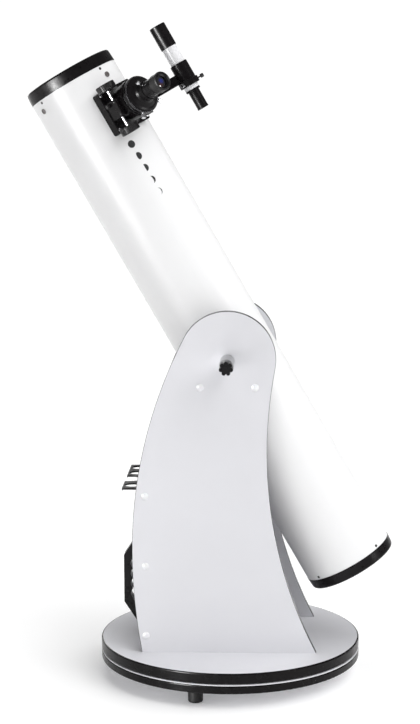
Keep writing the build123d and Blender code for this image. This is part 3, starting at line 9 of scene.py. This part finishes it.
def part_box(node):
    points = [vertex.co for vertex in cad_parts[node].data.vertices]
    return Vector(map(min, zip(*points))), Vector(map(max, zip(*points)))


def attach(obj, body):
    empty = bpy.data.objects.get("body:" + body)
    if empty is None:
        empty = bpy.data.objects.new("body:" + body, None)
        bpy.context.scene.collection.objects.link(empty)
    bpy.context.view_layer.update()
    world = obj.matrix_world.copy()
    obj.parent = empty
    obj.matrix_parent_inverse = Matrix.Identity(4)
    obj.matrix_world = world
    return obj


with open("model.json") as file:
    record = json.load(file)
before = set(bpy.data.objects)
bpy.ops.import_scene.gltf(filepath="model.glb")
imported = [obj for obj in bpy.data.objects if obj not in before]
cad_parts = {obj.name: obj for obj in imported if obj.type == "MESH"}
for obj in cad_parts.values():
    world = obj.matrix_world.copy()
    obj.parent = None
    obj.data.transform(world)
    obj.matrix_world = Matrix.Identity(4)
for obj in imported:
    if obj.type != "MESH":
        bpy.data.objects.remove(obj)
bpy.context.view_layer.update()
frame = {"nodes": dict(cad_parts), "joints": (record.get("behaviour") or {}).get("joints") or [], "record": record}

# The telescope's own directions at rest, read from the joints of the frame.
JOINTS = {joint["name"]: joint for joint in frame["joints"]}
PIVOT = Vector(JOINTS["altitude"]["pos_m"])
ACROSS = Vector((0, 1, 0))
ALONG = Vector(JOINTS["focus_turn"]["axis"]).normalized()
AWAY = ACROSS.cross(ALONG).normalized()
FOCUS = Vector(JOINTS["focus_travel"]["axis"]).normalized()

# Sizes of the CAD parts, in metres.
TUBE_RADIUS = 0.091
TUBE_INNER_RADIUS = 0.0903
PAINT_LINE = TUBE_RADIUS - 0.0002
# The stretch of the tube, measured from the altitude axis, that holds the spider's screws.
SPIDER_SCREWS_FROM = 0.575
SPIDER_SCREWS_TO = 0.5915
# Screws nearer to the tube's axis than this hold the focuser's base plate.
PLATE_SCREWS_BELOW = 0.105

# The spacing of the tool marks on turned parts, in metres.
FINE_TOOL_PITCH = 0.0004
COARSE_TOOL_PITCH = 0.0005

# How bright the white surroundings are as light, in reflections and to the camera.
AMBIENT_STRENGTH = 0.26
REFLECTED_STRENGTH = 0.2
BACKDROP_STRENGTH = 1.05
SOFTBOX_TARGET = (0, 0, 0.8)


# ---- Camera, floor and light ------------------------------------------------------
def make_camera():
    """A camera in front of the telescope, a little above its middle and looking down."""
    place = Vector((0.09835, -3.38415, 1.12941))
    yaw, pitch, roll = (math.radians(angle) for angle in (-2.31, -8.47, -0.26))
    forward = Vector((math.sin(yaw) * math.cos(pitch), math.cos(yaw) * math.cos(pitch), math.sin(pitch)))
    level = Vector((math.cos(yaw), -math.sin(yaw), 0))
    upright = level.cross(forward)
    right = level * math.cos(roll) + upright * math.sin(roll)
    up = right.cross(forward)
    data = bpy.data.cameras.new("camera")
    data.lens = 86.26
    data.clip_end = 100
    camera = bpy.data.objects.new("camera", data)
    camera.matrix_world = Matrix.Translation(place) @ Matrix((right, up, -forward)).transposed().to_4x4()
    bpy.context.collection.objects.link(camera)
    bpy.context.scene.camera = camera


def softbox(name, place, size, power):
    """A softbox that shows only as a reflection in glossy surfaces."""
    data = bpy.data.lights.new(name, "AREA")
    data.shape = "RECTANGLE"
    data.size, data.size_y = size
    data.energy = power
    light = bpy.data.objects.new(name, data)
    light.location = place
    light.rotation_euler = (Vector(SOFTBOX_TARGET) - Vector(place)).to_track_quat("-Z", "Y").to_euler()
    light.visible_diffuse = False
    bpy.context.collection.objects.link(light)


def sun(name, towards, strength, softness):
    """Even light from a direction, as soft as a large diffuser: softness is its angle."""
    data = bpy.data.lights.new(name, "SUN")
    data.energy = strength
    data.angle = math.radians(softness)
    light = bpy.data.objects.new(name, data)
    light.rotation_euler = Vector(towards).to_track_quat("Z", "Y").to_euler()
    light.visible_glossy = False
    bpy.context.collection.objects.link(light)


def make_studio():
    """White surroundings, three soft suns, and three softboxes for the highlights."""
    world = bpy.data.worlds.new("studio")
    world.use_nodes = True
    nodes, links = world.node_tree.nodes, world.node_tree.links

    def background(strength):
        node = nodes.new("ShaderNodeBackground")
        node.inputs["Color"].default_value = (1, 1, 1, 1)
        node.inputs["Strength"].default_value = strength
        return node.outputs["Background"]

    def either(ray, otherwise, when):
        mix = nodes.new("ShaderNodeMixShader")
        links.new(rays.outputs[ray], mix.inputs["Fac"])
        links.new(otherwise, mix.inputs[1])
        links.new(when, mix.inputs[2])
        return mix.outputs["Shader"]

    rays = nodes.new("ShaderNodeLightPath")
    lit = either("Is Glossy Ray", background(AMBIENT_STRENGTH), background(REFLECTED_STRENGTH))
    lit = either("Is Camera Ray", lit, background(BACKDROP_STRENGTH))
    links.new(lit, nodes["World Output"].inputs["Surface"])
    bpy.context.scene.world = world

    sun("key", (0.9, -1.0, 1.1), 1.12, 40)
    sun("front", (-0.2, -1.3, 0.5), 0.22, 50)
    sun("overhead", (0.4, 0.0, 1.0), 2.1, 80)
    softbox("softbox_left", (-2.3, -2.6, 0.8), (0.9, 1.5), 370)
    softbox("softbox_right", (2.8, -1.2, 1.5), (0.5, 1.8), 35)
    softbox("softbox_back", (-1.2, 2.8, 1.6), (1.4, 1.6), 22)

    scene = bpy.context.scene
    scene.view_settings.view_transform = "Standard"
    scene.view_settings.look = "None"


# ---- Shader helpers ---------------------------------------------------------------
class Shader:
    """A material being built: one Principled shader and the nodes that feed it."""

    def __init__(self, name, colour, roughness, **sockets):
        self.material = bpy.data.materials.new(name)
        self.material.use_nodes = True
        self.nodes = self.material.node_tree.nodes
        self.links = self.material.node_tree.links
        self.surface = self.nodes["Principled BSDF"]
        self.surface.inputs["Base Color"].default_value = (*colour, 1)
        self.surface.inputs["Roughness"].default_value = roughness
        for socket, value in sockets.items():
            self.surface.inputs[socket.replace("_", " ")].default_value = value
        self.place = self.nodes.new("ShaderNodeTexCoord").outputs["Object"]

    def plug(self, socket, value):
        """Link a value that another node makes, or set a plain one."""
        if isinstance(value, bpy.types.NodeSocket):
            self.links.new(value, socket)
        else:
            socket.default_value = value

    def feed(self, node, **inputs):
        for socket, value in inputs.items():
            self.plug(node.inputs[socket.replace("_", " ")], value)

    def maths(self, operation, first, second=0.0):
        node = self.nodes.new("ShaderNodeMath")
        node.operation = operation
        for socket, value in zip(node.inputs, (first, second)):
            self.plug(socket, value)
        return node.outputs["Value"]

    def vector(self, operation, first, second, output="Vector"):
        node = self.nodes.new("ShaderNodeVectorMath")
        node.operation = operation
        for socket, value in zip(node.inputs, (first, second)):
            self.plug(socket, value)
        return node.outputs[output]

    def stretched(self, scale):
        """Object coordinates, scaled by a different amount along each axis."""
        return self.vector("MULTIPLY", self.place, scale)

    def noise(self, scale, detail=3.0, roughness=0.5, place=None):
        node = self.nodes.new("ShaderNodeTexNoise")
        self.feed(node, Vector=place or self.place, Scale=scale, Detail=detail, Roughness=roughness)
        return node.outputs["Fac"]

    def cells(self, scale):
        node = self.nodes.new("ShaderNodeTexVoronoi")
        self.feed(node, Vector=self.place, Scale=scale)
        return node.outputs["Distance"]

    def spread(self, value, low, high, from_low=0.3, from_high=0.7):
        """Map a range of values to another, and hold the ends."""
        node = self.nodes.new("ShaderNodeMapRange")
        node.clamp = True
        self.feed(node, Value=value, From_Min=from_low, From_Max=from_high, To_Min=low, To_Max=high)
        return node.outputs["Result"]

    def blended(self, factor, first, second):
        """Mix two colours. The colour sockets of a Mix node have the numbers 6 and 7."""
        node = self.nodes.new("ShaderNodeMix")
        node.data_type = "RGBA"
        for index, value in ((0, factor), (6, first), (7, second)):
            opaque = (*value, 1) if isinstance(value, tuple) else value
            self.plug(node.inputs[index], opaque)
        return node.outputs[2]

    def edges(self, radius):
        """1 on the sharp edges of the shape, within a radius, and 0 on its flats."""
        bevel = self.nodes.new("ShaderNodeBevel")
        bevel.samples = 6
        bevel.inputs["Radius"].default_value = radius
        geometry = self.nodes.new("ShaderNodeNewGeometry")
        same = self.vector("DOT_PRODUCT", bevel.outputs["Normal"], geometry.outputs["Normal"], "Value")
        return self.spread(same, 1.0, 0.0, 0.86, 0.99)

    def from_axis(self, point, axis):
        """The distance from a line."""
        offset = self.vector("SUBTRACT", self.place, tuple(point))
        crossed = self.vector("CROSS_PRODUCT", offset, tuple(axis))
        return self.vector("LENGTH", crossed, (0, 0, 0), "Value")

    def along_axis(self, point, axis):
        """The distance along a line, from a point on it."""
        offset = self.vector("SUBTRACT", self.place, tuple(point))
        return self.vector("DOT_PRODUCT", offset, tuple(axis), "Value")

    def waves(self, distance, pitch):
        """Tool marks: a wave that repeats every pitch."""
        return self.maths("SINE", self.maths("MULTIPLY", distance, 2 * math.pi / pitch))

    def paint(self, value):
        self.links.new(value, self.surface.inputs["Base Color"])

    def roughen(self, value):
        self.links.new(value, self.surface.inputs["Roughness"])

    def emboss(self, height, distance, strength):
        bump = self.nodes.new("ShaderNodeBump")
        self.feed(bump, Height=height, Distance=distance, Strength=strength)
        self.links.new(bump.outputs["Normal"], self.surface.inputs["Normal"])


def tinted(colour, factor):
    """The same colour, darker or lighter."""
    return tuple(min(1.0, channel * factor) for channel in colour)


# ---- Materials --------------------------------------------------------------------
def white_melamine():
    """Melamine faced board: a fine pearl grain, faint clouding, and scuffs that dull it."""
    base = (0.66, 0.66, 0.69)
    s = Shader("white_melamine", base, 0.42, Specular_IOR_Level=0.45)
    cloud = s.spread(s.noise(5.0, 4.0), 0.0, 1.0, 0.35, 0.65)
    colour = s.blended(cloud, tinted(base, 0.985), tinted(base, 1.015))
    scuffs = s.spread(s.noise(60.0, 6.0, 0.7, s.stretched((1.0, 1.0, 0.08))), 0.0, 1.0, 0.66, 0.74)
    worn = s.edges(0.0015)
    s.paint(s.blended(s.maths("MULTIPLY", worn, 0.25), colour, tinted(base, 0.8)))
    s.roughen(s.maths("ADD", s.spread(s.noise(30.0, 5.0), 0.36, 0.48), s.maths("MULTIPLY", scuffs, 0.10)))
    grain = s.noise(900.0, 2.0)
    pearl = s.cells(520.0)
    s.emboss(s.maths("ADD", grain, s.maths("MULTIPLY", pearl, 0.6)), 0.00006, 0.5)
    return s.material


def black_edge_band():
    """Glued plastic edging on the boards, dusty in patches and worn at its corners."""
    base = (0.0048, 0.0040, 0.0045)
    s = Shader("black_edge_band", base, 0.2, Specular_IOR_Level=0.12)
    worn = s.edges(0.0008)
    dust = s.spread(s.noise(70.0, 6.0, 0.65), 0.0, 1.0, 0.55, 0.75)
    colour = s.blended(s.maths("MULTIPLY", dust, 0.2), base, (0.018, 0.017, 0.018))
    s.paint(s.blended(s.maths("MULTIPLY", worn, 0.2), colour, (0.06, 0.06, 0.064)))
    s.roughen(s.spread(s.noise(45.0, 5.0), 0.14, 0.34))
    s.emboss(s.noise(320.0, 3.0), 0.00008, 0.35)
    return s.material


def white_enamel():
    """Glossy white enamel outside, with a faint orange peel, and flat black paint inside."""
    base = (0.821, 0.821, 0.826)
    s = Shader("white_enamel", base, 0.34, Specular_IOR_Level=0.15, Coat_Weight=0.05, Coat_Roughness=0.2)
    inside = s.spread(s.from_axis(PIVOT, ALONG), 1.0, 0.0, TUBE_INNER_RADIUS, PAINT_LINE)
    cloud = s.spread(s.noise(7.0, 4.0), 0.0, 1.0, 0.35, 0.65)
    outside = s.blended(cloud, tinted(base, 0.994), tinted(base, 1.004))
    flat_black = s.blended(s.noise(240.0, 4.0), (0.006, 0.006, 0.006), (0.018, 0.018, 0.018))
    s.paint(s.blended(inside, outside, flat_black))
    peel = s.noise(210.0, 2.0, 0.4)
    gloss = s.spread(s.noise(26.0, 5.0), 0.30, 0.38)
    s.roughen(s.maths("MAXIMUM", gloss, s.maths("MULTIPLY", inside, 0.75)))
    s.emboss(s.maths("ADD", peel, s.maths("MULTIPLY", inside, s.noise(900.0, 2.0))), 0.00004, 0.4)
    return s.material


def finder_enamel():
    """The finder's own white enamel, smoother than the tube's."""
    base = (0.76, 0.76, 0.775)
    s = Shader("finder_enamel", base, 0.34, Specular_IOR_Level=0.15, Coat_Weight=0.05, Coat_Roughness=0.2)
    cloud = s.spread(s.noise(30.0, 4.0), 0.0, 1.0, 0.35, 0.65)
    s.paint(s.blended(cloud, tinted(base, 0.97), tinted(base, 1.01)))
    s.roughen(s.spread(s.noise(60.0, 5.0), 0.28, 0.36))
    s.emboss(s.noise(160.0, 2.0, 0.4), 0.000006, 0.2)
    return s.material


def black_plastic():
    """Moulded plastic: a fine leathery grain, greyed by dust and by wear on its edges."""
    base = (0.0046, 0.0038, 0.0043)
    s = Shader("black_plastic", base, 0.3, Specular_IOR_Level=0.15)
    worn = s.edges(0.0009)
    dust = s.spread(s.noise(55.0, 6.0, 0.6), 0.0, 1.0, 0.5, 0.75)
    colour = s.blended(s.maths("MULTIPLY", dust, 0.18), base, (0.018, 0.017, 0.018))
    s.paint(s.blended(s.maths("MULTIPLY", worn, 0.3), colour, (0.045, 0.045, 0.048)))
    s.roughen(s.spread(s.noise(90.0, 5.0), 0.24, 0.38))
    grain = s.maths("ADD", s.cells(900.0), s.maths("MULTIPLY", s.noise(1500.0, 2.0), 0.5))
    s.emboss(grain, 0.00009, 0.45)
    return s.material


def black_cast_paint():
    """Thick glossy paint on a casting: lumpy at a millimetre's scale."""
    base = (0.0058, 0.0048, 0.0054)
    s = Shader("black_cast_paint", base, 0.22, Specular_IOR_Level=0.14)
    worn = s.edges(0.0008)
    chips = s.spread(s.noise(260.0, 6.0, 0.7), 0.0, 1.0, 0.52, 0.66)
    bare = s.maths("MULTIPLY", worn, chips)
    s.paint(s.blended(s.maths("MULTIPLY", bare, 0.7), base, (0.30, 0.30, 0.31)))
    s.roughen(s.spread(s.noise(120.0, 5.0), 0.16, 0.30))
    s.emboss(s.noise(620.0, 3.0, 0.6), 0.00005, 0.4)
    return s.material


def black_anodised(name, point, axis, bright_rims=False):
    """Turned and anodised aluminium, with fine tool rings about its own axis.

    bright_rims is for the parts whose rims were cut back to bright metal afterwards.
    """
    base = (0.0056, 0.0047, 0.0054)
    s = Shader(name, base, 0.3, Specular_IOR_Level=0.15)
    if bright_rims:
        rim = s.edges(0.0009)
        s.paint(s.blended(rim, base, (0.62, 0.62, 0.65)))
        s.links.new(rim, s.surface.inputs["Metallic"])
    else:
        s.paint(s.blended(s.maths("MULTIPLY", s.edges(0.0006), 0.4), base, (0.07, 0.07, 0.08)))
    rings = s.waves(s.along_axis(point, axis), FINE_TOOL_PITCH)
    turned_face = s.waves(s.from_axis(point, axis), FINE_TOOL_PITCH)
    s.roughen(s.spread(s.noise(160.0, 5.0), 0.25, 0.34))
    s.emboss(s.maths("ADD", rings, turned_face), 0.000004, 0.3)
    return s.material


def black_rubber():
    """Rubber, dusty in patches, with a slight sheen."""
    base = (0.0075, 0.0068, 0.0072)
    s = Shader("black_rubber", base, 0.6, Specular_IOR_Level=0.25, Sheen_Weight=0.06, Sheen_Roughness=0.5)
    dust = s.spread(s.noise(80.0, 6.0, 0.6), 0.0, 1.0, 0.45, 0.75)
    colour = s.blended(s.maths("MULTIPLY", dust, 0.35), base, (0.022, 0.021, 0.021))
    s.paint(s.blended(s.maths("MULTIPLY", s.edges(0.0008), 0.3), colour, (0.04, 0.04, 0.04)))
    s.roughen(s.spread(s.noise(60.0, 5.0), 0.42, 0.62))
    s.emboss(s.noise(1400.0, 3.0), 0.00010, 0.5)
    return s.material


def bright_screw():
    """Plated steel with patches of grime."""
    base = (0.70, 0.70, 0.72)
    s = Shader("bright_screw", base, 0.16, Metallic=1.0)
    grime = s.spread(s.noise(500.0, 5.0, 0.6), 0.0, 1.0, 0.5, 0.75)
    s.paint(s.blended(s.maths("MULTIPLY", grime, 0.45), base, (0.32, 0.31, 0.30)))
    s.roughen(s.spread(s.noise(700.0, 4.0), 0.10, 0.28))
    s.emboss(s.noise(1800.0, 2.0), 0.00002, 0.4)
    return s.material


def black_screw():
    """Blackened steel, polished a little where a driver or a finger touches it."""
    base = (0.009, 0.008, 0.009)
    s = Shader("black_screw", base, 0.24, Specular_IOR_Level=0.6)
    rubbed = s.maths("MULTIPLY", s.edges(0.0005), s.spread(s.noise(900.0, 4.0), 0.2, 0.7))
    s.paint(s.blended(rubbed, base, (0.13, 0.13, 0.135)))
    s.roughen(s.spread(s.noise(600.0, 4.0), 0.18, 0.34))
    s.emboss(s.noise(1500.0, 2.0), 0.00002, 0.4)
    return s.material


def focuser_screw_metal():
    """Bright screws in the focuser's base plate, and black ones in its pinion cover."""
    bright, dark = (0.72, 0.72, 0.74), (0.009, 0.008, 0.009)
    s = Shader("focuser_screw_metal", bright, 0.2)
    plate = s.maths("LESS_THAN", s.along_axis(PIVOT, FOCUS), PLATE_SCREWS_BELOW)
    grime = s.spread(s.noise(500.0, 5.0, 0.6), 0.0, 0.5, 0.5, 0.75)
    s.paint(s.blended(plate, dark, s.blended(grime, bright, dark)))
    s.links.new(plate, s.surface.inputs["Metallic"])
    s.roughen(s.spread(s.noise(700.0, 4.0), 0.14, 0.30))
    s.emboss(s.noise(1800.0, 2.0), 0.00002, 0.4)
    return s.material


def tube_screw_metal():
    """Black screws in the end rings, and dull bronzed ones where the spider is held."""
    dark, bronze = (0.009, 0.008, 0.009), (0.13, 0.115, 0.11)
    s = Shader("tube_screw_metal", dark, 0.3, Specular_IOR_Level=0.6)
    height = s.along_axis(PIVOT, ALONG)
    above = s.maths("GREATER_THAN", height, SPIDER_SCREWS_FROM)
    below = s.maths("LESS_THAN", height, SPIDER_SCREWS_TO)
    large = s.maths("MULTIPLY", above, below)
    tarnish = s.spread(s.noise(700.0, 5.0, 0.6), 0.0, 1.0, 0.4, 0.7)
    s.paint(s.blended(large, dark, s.blended(tarnish, bronze, tinted(bronze, 0.6))))
    s.roughen(s.spread(s.noise(500.0, 4.0), 0.28, 0.46))
    s.emboss(s.noise(1500.0, 2.0), 0.00002, 0.4)
    return s.material


def spring_steel():
    """Dull spring wire."""
    base = (0.50, 0.50, 0.52)
    s = Shader("spring_steel", base, 0.3, Metallic=1.0)
    s.paint(s.blended(s.noise(400.0, 4.0), base, (0.34, 0.33, 0.33)))
    s.roughen(s.spread(s.noise(900.0, 4.0), 0.22, 0.4))
    s.emboss(s.noise(2200.0, 2.0), 0.00002, 0.4)
    return s.material


def grey_metal():
    """Satin turned aluminium, with rings about the altitude axis."""
    base = (0.50, 0.50, 0.51)
    s = Shader("grey_metal", base, 0.36, Metallic=0.9)
    s.paint(s.blended(s.spread(s.noise(120.0, 5.0), 0.0, 1.0), tinted(base, 0.85), tinted(base, 1.05)))
    s.roughen(s.spread(s.noise(240.0, 4.0), 0.28, 0.44))
    s.emboss(s.waves(s.along_axis(PIVOT, ACROSS), COARSE_TOOL_PITCH), 0.000015, 0.6)
    return s.material


def white_plastic():
    """Slightly translucent moulded plastic."""
    base = (0.80, 0.80, 0.82)
    s = Shader("white_plastic", base, 0.32, Specular_IOR_Level=0.45, Subsurface_Weight=0.05)
    s.surface.inputs["Subsurface Scale"].default_value = 0.002
    s.paint(s.blended(s.noise(90.0, 4.0), tinted(base, 0.97), base))
    s.roughen(s.spread(s.noise(150.0, 4.0), 0.22, 0.36))
    s.emboss(s.noise(800.0, 2.0), 0.00004, 0.3)
    return s.material


def slick_pad():
    """Slippery plastic, as used for bearing pads."""
    base = (0.82, 0.82, 0.80)
    s = Shader("slick_pad", base, 0.4)
    s.paint(s.blended(s.noise(120.0, 5.0), tinted(base, 0.92), base))
    s.roughen(s.spread(s.noise(200.0, 4.0), 0.32, 0.5))
    s.emboss(s.noise(700.0, 3.0), 0.00005, 0.4)
    return s.material


def mirror_glass():
    """An aluminised front; a faint haze keeps it from being a perfect mirror."""
    base = (0.90, 0.90, 0.92)
    s = Shader("mirror_glass", base, 0.03, Metallic=1.0)
    s.paint(s.blended(s.spread(s.noise(14.0, 5.0), 0.0, 1.0), tinted(base, 0.97), base))
    s.roughen(s.spread(s.noise(40.0, 5.0), 0.015, 0.05))
    s.emboss(s.noise(20.0, 1.0), 0.000002, 0.1)
    return s.material


def coated_glass(name="coated_glass", point=None, axis=(0, 0, 1)):
    """A coated lens over a dark barrel.

    A lens that is given a point and an axis has a painted blue reflection and a painted red
    reflection in its colour, set off its centre, and any other lens has the changing hue of its coating.
    """
    dark, blue, red = (0.004, 0.004, 0.006), (0.010, 0.018, 0.19), (0.045, 0.010, 0.008)
    s = Shader(name, dark, 0.04, Specular_IOR_Level=0.8, Coat_Weight=1.0, Coat_Roughness=0.03)
    if point is not None:
        # Painted reflections: a blue glint and a red one are fixed spots in the base colour, off the lens's
        # centre, in place of the coating's reflections of the lamps.
        side = Vector(axis).cross(ALONG).normalized()
        blue_reflection_place = Vector(point) + ALONG * 0.0012 - side * 0.0010
        red_reflection_place = Vector(point) - ALONG * 0.0052 + side * 0.0036
        painted_blue_reflection = s.spread(s.from_axis(blue_reflection_place, axis), 1.0, 0.0, 0.0008, 0.0066)
        painted_red_reflection = s.spread(s.from_axis(red_reflection_place, axis), 1.0, 0.0, 0.0014, 0.0066)
        colour = s.blended(painted_blue_reflection, s.blended(painted_red_reflection, dark, red), blue)
    else:
        facing = s.nodes.new("ShaderNodeLayerWeight")
        facing.inputs["Blend"].default_value = 0.45
        colour = s.blended(facing.outputs["Facing"], (0.006, 0.010, 0.06), (0.03, 0.006, 0.012))
    s.paint(s.blended(s.maths("MULTIPLY", s.noise(200.0, 4.0), 0.06), colour, (0.02, 0.02, 0.03)))
    s.roughen(s.spread(s.noise(120.0, 4.0), 0.02, 0.06))
    return s.material


def black_ink():
    """Printing ink, thin in places."""
    base = (0.012, 0.012, 0.013)
    s = Shader("black_ink", base, 0.35, Specular_IOR_Level=0.5)
    s.paint(s.blended(s.spread(s.noise(900.0, 4.0), 0.0, 1.0, 0.55, 0.8), base, (0.05, 0.05, 0.05)))
    s.roughen(s.spread(s.noise(300.0, 4.0), 0.28, 0.42))
    s.emboss(s.noise(900.0, 2.0), 0.00002, 0.3)
    return s.material


def pale_floor():
    """A white sheet with a little light behind it, as under a product on a light table."""
    base = (0.93, 0.93, 0.93)
    s = Shader("pale_floor", base, 0.6, Specular_IOR_Level=0.2, Emission_Strength=0.13)
    s.surface.inputs["Emission Color"].default_value = (1, 1, 1, 1)
    s.paint(s.blended(s.noise(3.0, 3.0), tinted(base, 0.995), base))
    s.roughen(s.spread(s.noise(12.0, 3.0), 0.55, 0.65))
    return s.material


# ---- Surfaces of the CAD nodes ----------------------------------------------------
FINDER_NODES = ("finder_objective_cell", "finder_eyepiece")
DARK_SCREWS = ("focus_lock_screw", "finder_screw_1")
BRIGHT_RIMMED = ("drawtube", "drawtube_collar")


def middle_of(node):
    """The middle of a node's box, which is on the axis of a turned part."""
    low, high = (Vector(corner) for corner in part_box(node))
    return (low + high) / 2


def paint_nodes():
    """Give each CAD node its own material, or else the one that its slot names."""
    focuser, finder = middle_of("drawtube_collar"), middle_of("finder_tube")
    made = {
        "white_melamine": white_melamine(),
        "black_edge_band": black_edge_band(),
        "white_enamel": white_enamel(),
        "black_plastic": black_plastic(),
        "black_anodised": black_anodised("black_anodised", focuser, FOCUS),
        "black_cast_paint": black_cast_paint(),
        "black_rubber": black_rubber(),
        "bright_screw": bright_screw(),
        "spring_steel": spring_steel(),
        "grey_metal": grey_metal(),
        "white_plastic": white_plastic(),
        "slick_pad": slick_pad(),
        "mirror_glass": mirror_glass(),
        "coated_glass": coated_glass(),
    }
    dark_screw = black_screw()
    finder_black = black_anodised("finder_anodised", finder, ALONG)
    rimmed = black_anodised("rimmed_anodised", focuser, FOCUS, bright_rims=True)
    own = {
        "finder_tube": finder_enamel(),
        "tube_screws": tube_screw_metal(),
        "focuser_screws": focuser_screw_metal(),
        "eyepiece_lens": coated_glass("eyepiece_glass", focuser, FOCUS),
    }
    own.update({node: dark_screw for node in DARK_SCREWS})
    own.update({node: finder_black for node in FINDER_NODES})
    own.update({node: rimmed for node in BRIGHT_RIMMED})
    for part in frame["record"]["subparts"]:
        node = part["node"]
        material = own.get(node) or made[part["material_slot"]]
        slots = frame["nodes"][node].data.materials
        slots.clear()
        slots.append(material)


# ---- Printed moon phases on the tube ----------------------------------------------
ICON_RADIUS = 0.0074
ICON_FIRST = 0.3425
ICON_STEP = 0.0258
ICON_ANGLE = math.radians(30)
ICON_THICKNESS = 0.00012
ICON_SINK = 0.00003
ICON_ROWS = 32
ICON_COLUMNS = 8
TERMINATORS = (0.72, 0.35, -0.02, -0.42, -1.0)


def on_tube(along, sideways, radius):
    """A point on the tube: sideways is an arc length from the icons' line."""
    angle = ICON_ANGLE + sideways / TUBE_RADIUS
    out = AWAY * math.sin(angle) - ACROSS * math.cos(angle)
    return PIVOT + ALONG * along + out * radius


def add_moon(mesh, centre, terminator):
    """One lit moon, between its limb and its terminator, as a thin closed film."""
    rows, columns = ICON_ROWS, ICON_COLUMNS
    layers = []
    for radius in (TUBE_RADIUS - ICON_SINK, TUBE_RADIUS + ICON_THICKNESS):
        grid = []
        for row in range(rows + 1):
            turn = math.pi * (row + 0.02) / (rows + 0.04)
            height, limb = -math.cos(turn) * ICON_RADIUS, math.sin(turn) * ICON_RADIUS
            line = []
            for column in range(columns + 1):
                part = column / columns
                across = limb * (part + (1 - part) * terminator)
                line.append(mesh.verts.new(on_tube(centre + height, across, radius)))
            grid.append(line)
        layers.append(grid)
    low, high = layers
    for row in range(rows):
        for column in range(columns):
            for grid in layers:
                mesh.faces.new((grid[row][column], grid[row][column + 1],
                                grid[row + 1][column + 1], grid[row + 1][column]))
        for column in (0, columns):
            mesh.faces.new((low[row][column], low[row + 1][column],
                            high[row + 1][column], high[row][column]))
    for row in (0, rows):
        for column in range(columns):
            mesh.faces.new((low[row][column], low[row][column + 1],
                            high[row][column + 1], high[row][column]))


def finish_mesh(name, mesh, material):
    """Turn a mesh being built into an object of the scene."""
    bmesh.ops.recalc_face_normals(mesh, faces=mesh.faces)
    data = bpy.data.meshes.new(name)
    mesh.to_mesh(data)
    mesh.free()
    data.materials.append(material)
    piece = bpy.data.objects.new(name, data)
    bpy.context.collection.objects.link(piece)
    return piece


def make_moon_phases():
    """A printed row of moons going up the tube, from a thin crescent to a full disc."""
    mesh = bmesh.new()
    for index, terminator in enumerate(TERMINATORS):
        add_moon(mesh, ICON_FIRST + index * ICON_STEP, terminator)
    piece = finish_mesh("moon_phase_icons", mesh, black_ink())
    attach(piece, "optical_tube")


def make_floor():
    mesh = bmesh.new()
    bmesh.ops.create_circle(mesh, cap_ends=True, radius=30, segments=96)
    floor = finish_mesh("floor", mesh, pale_floor())


make_camera()
make_studio()
make_floor()
paint_nodes()
make_moon_phases()
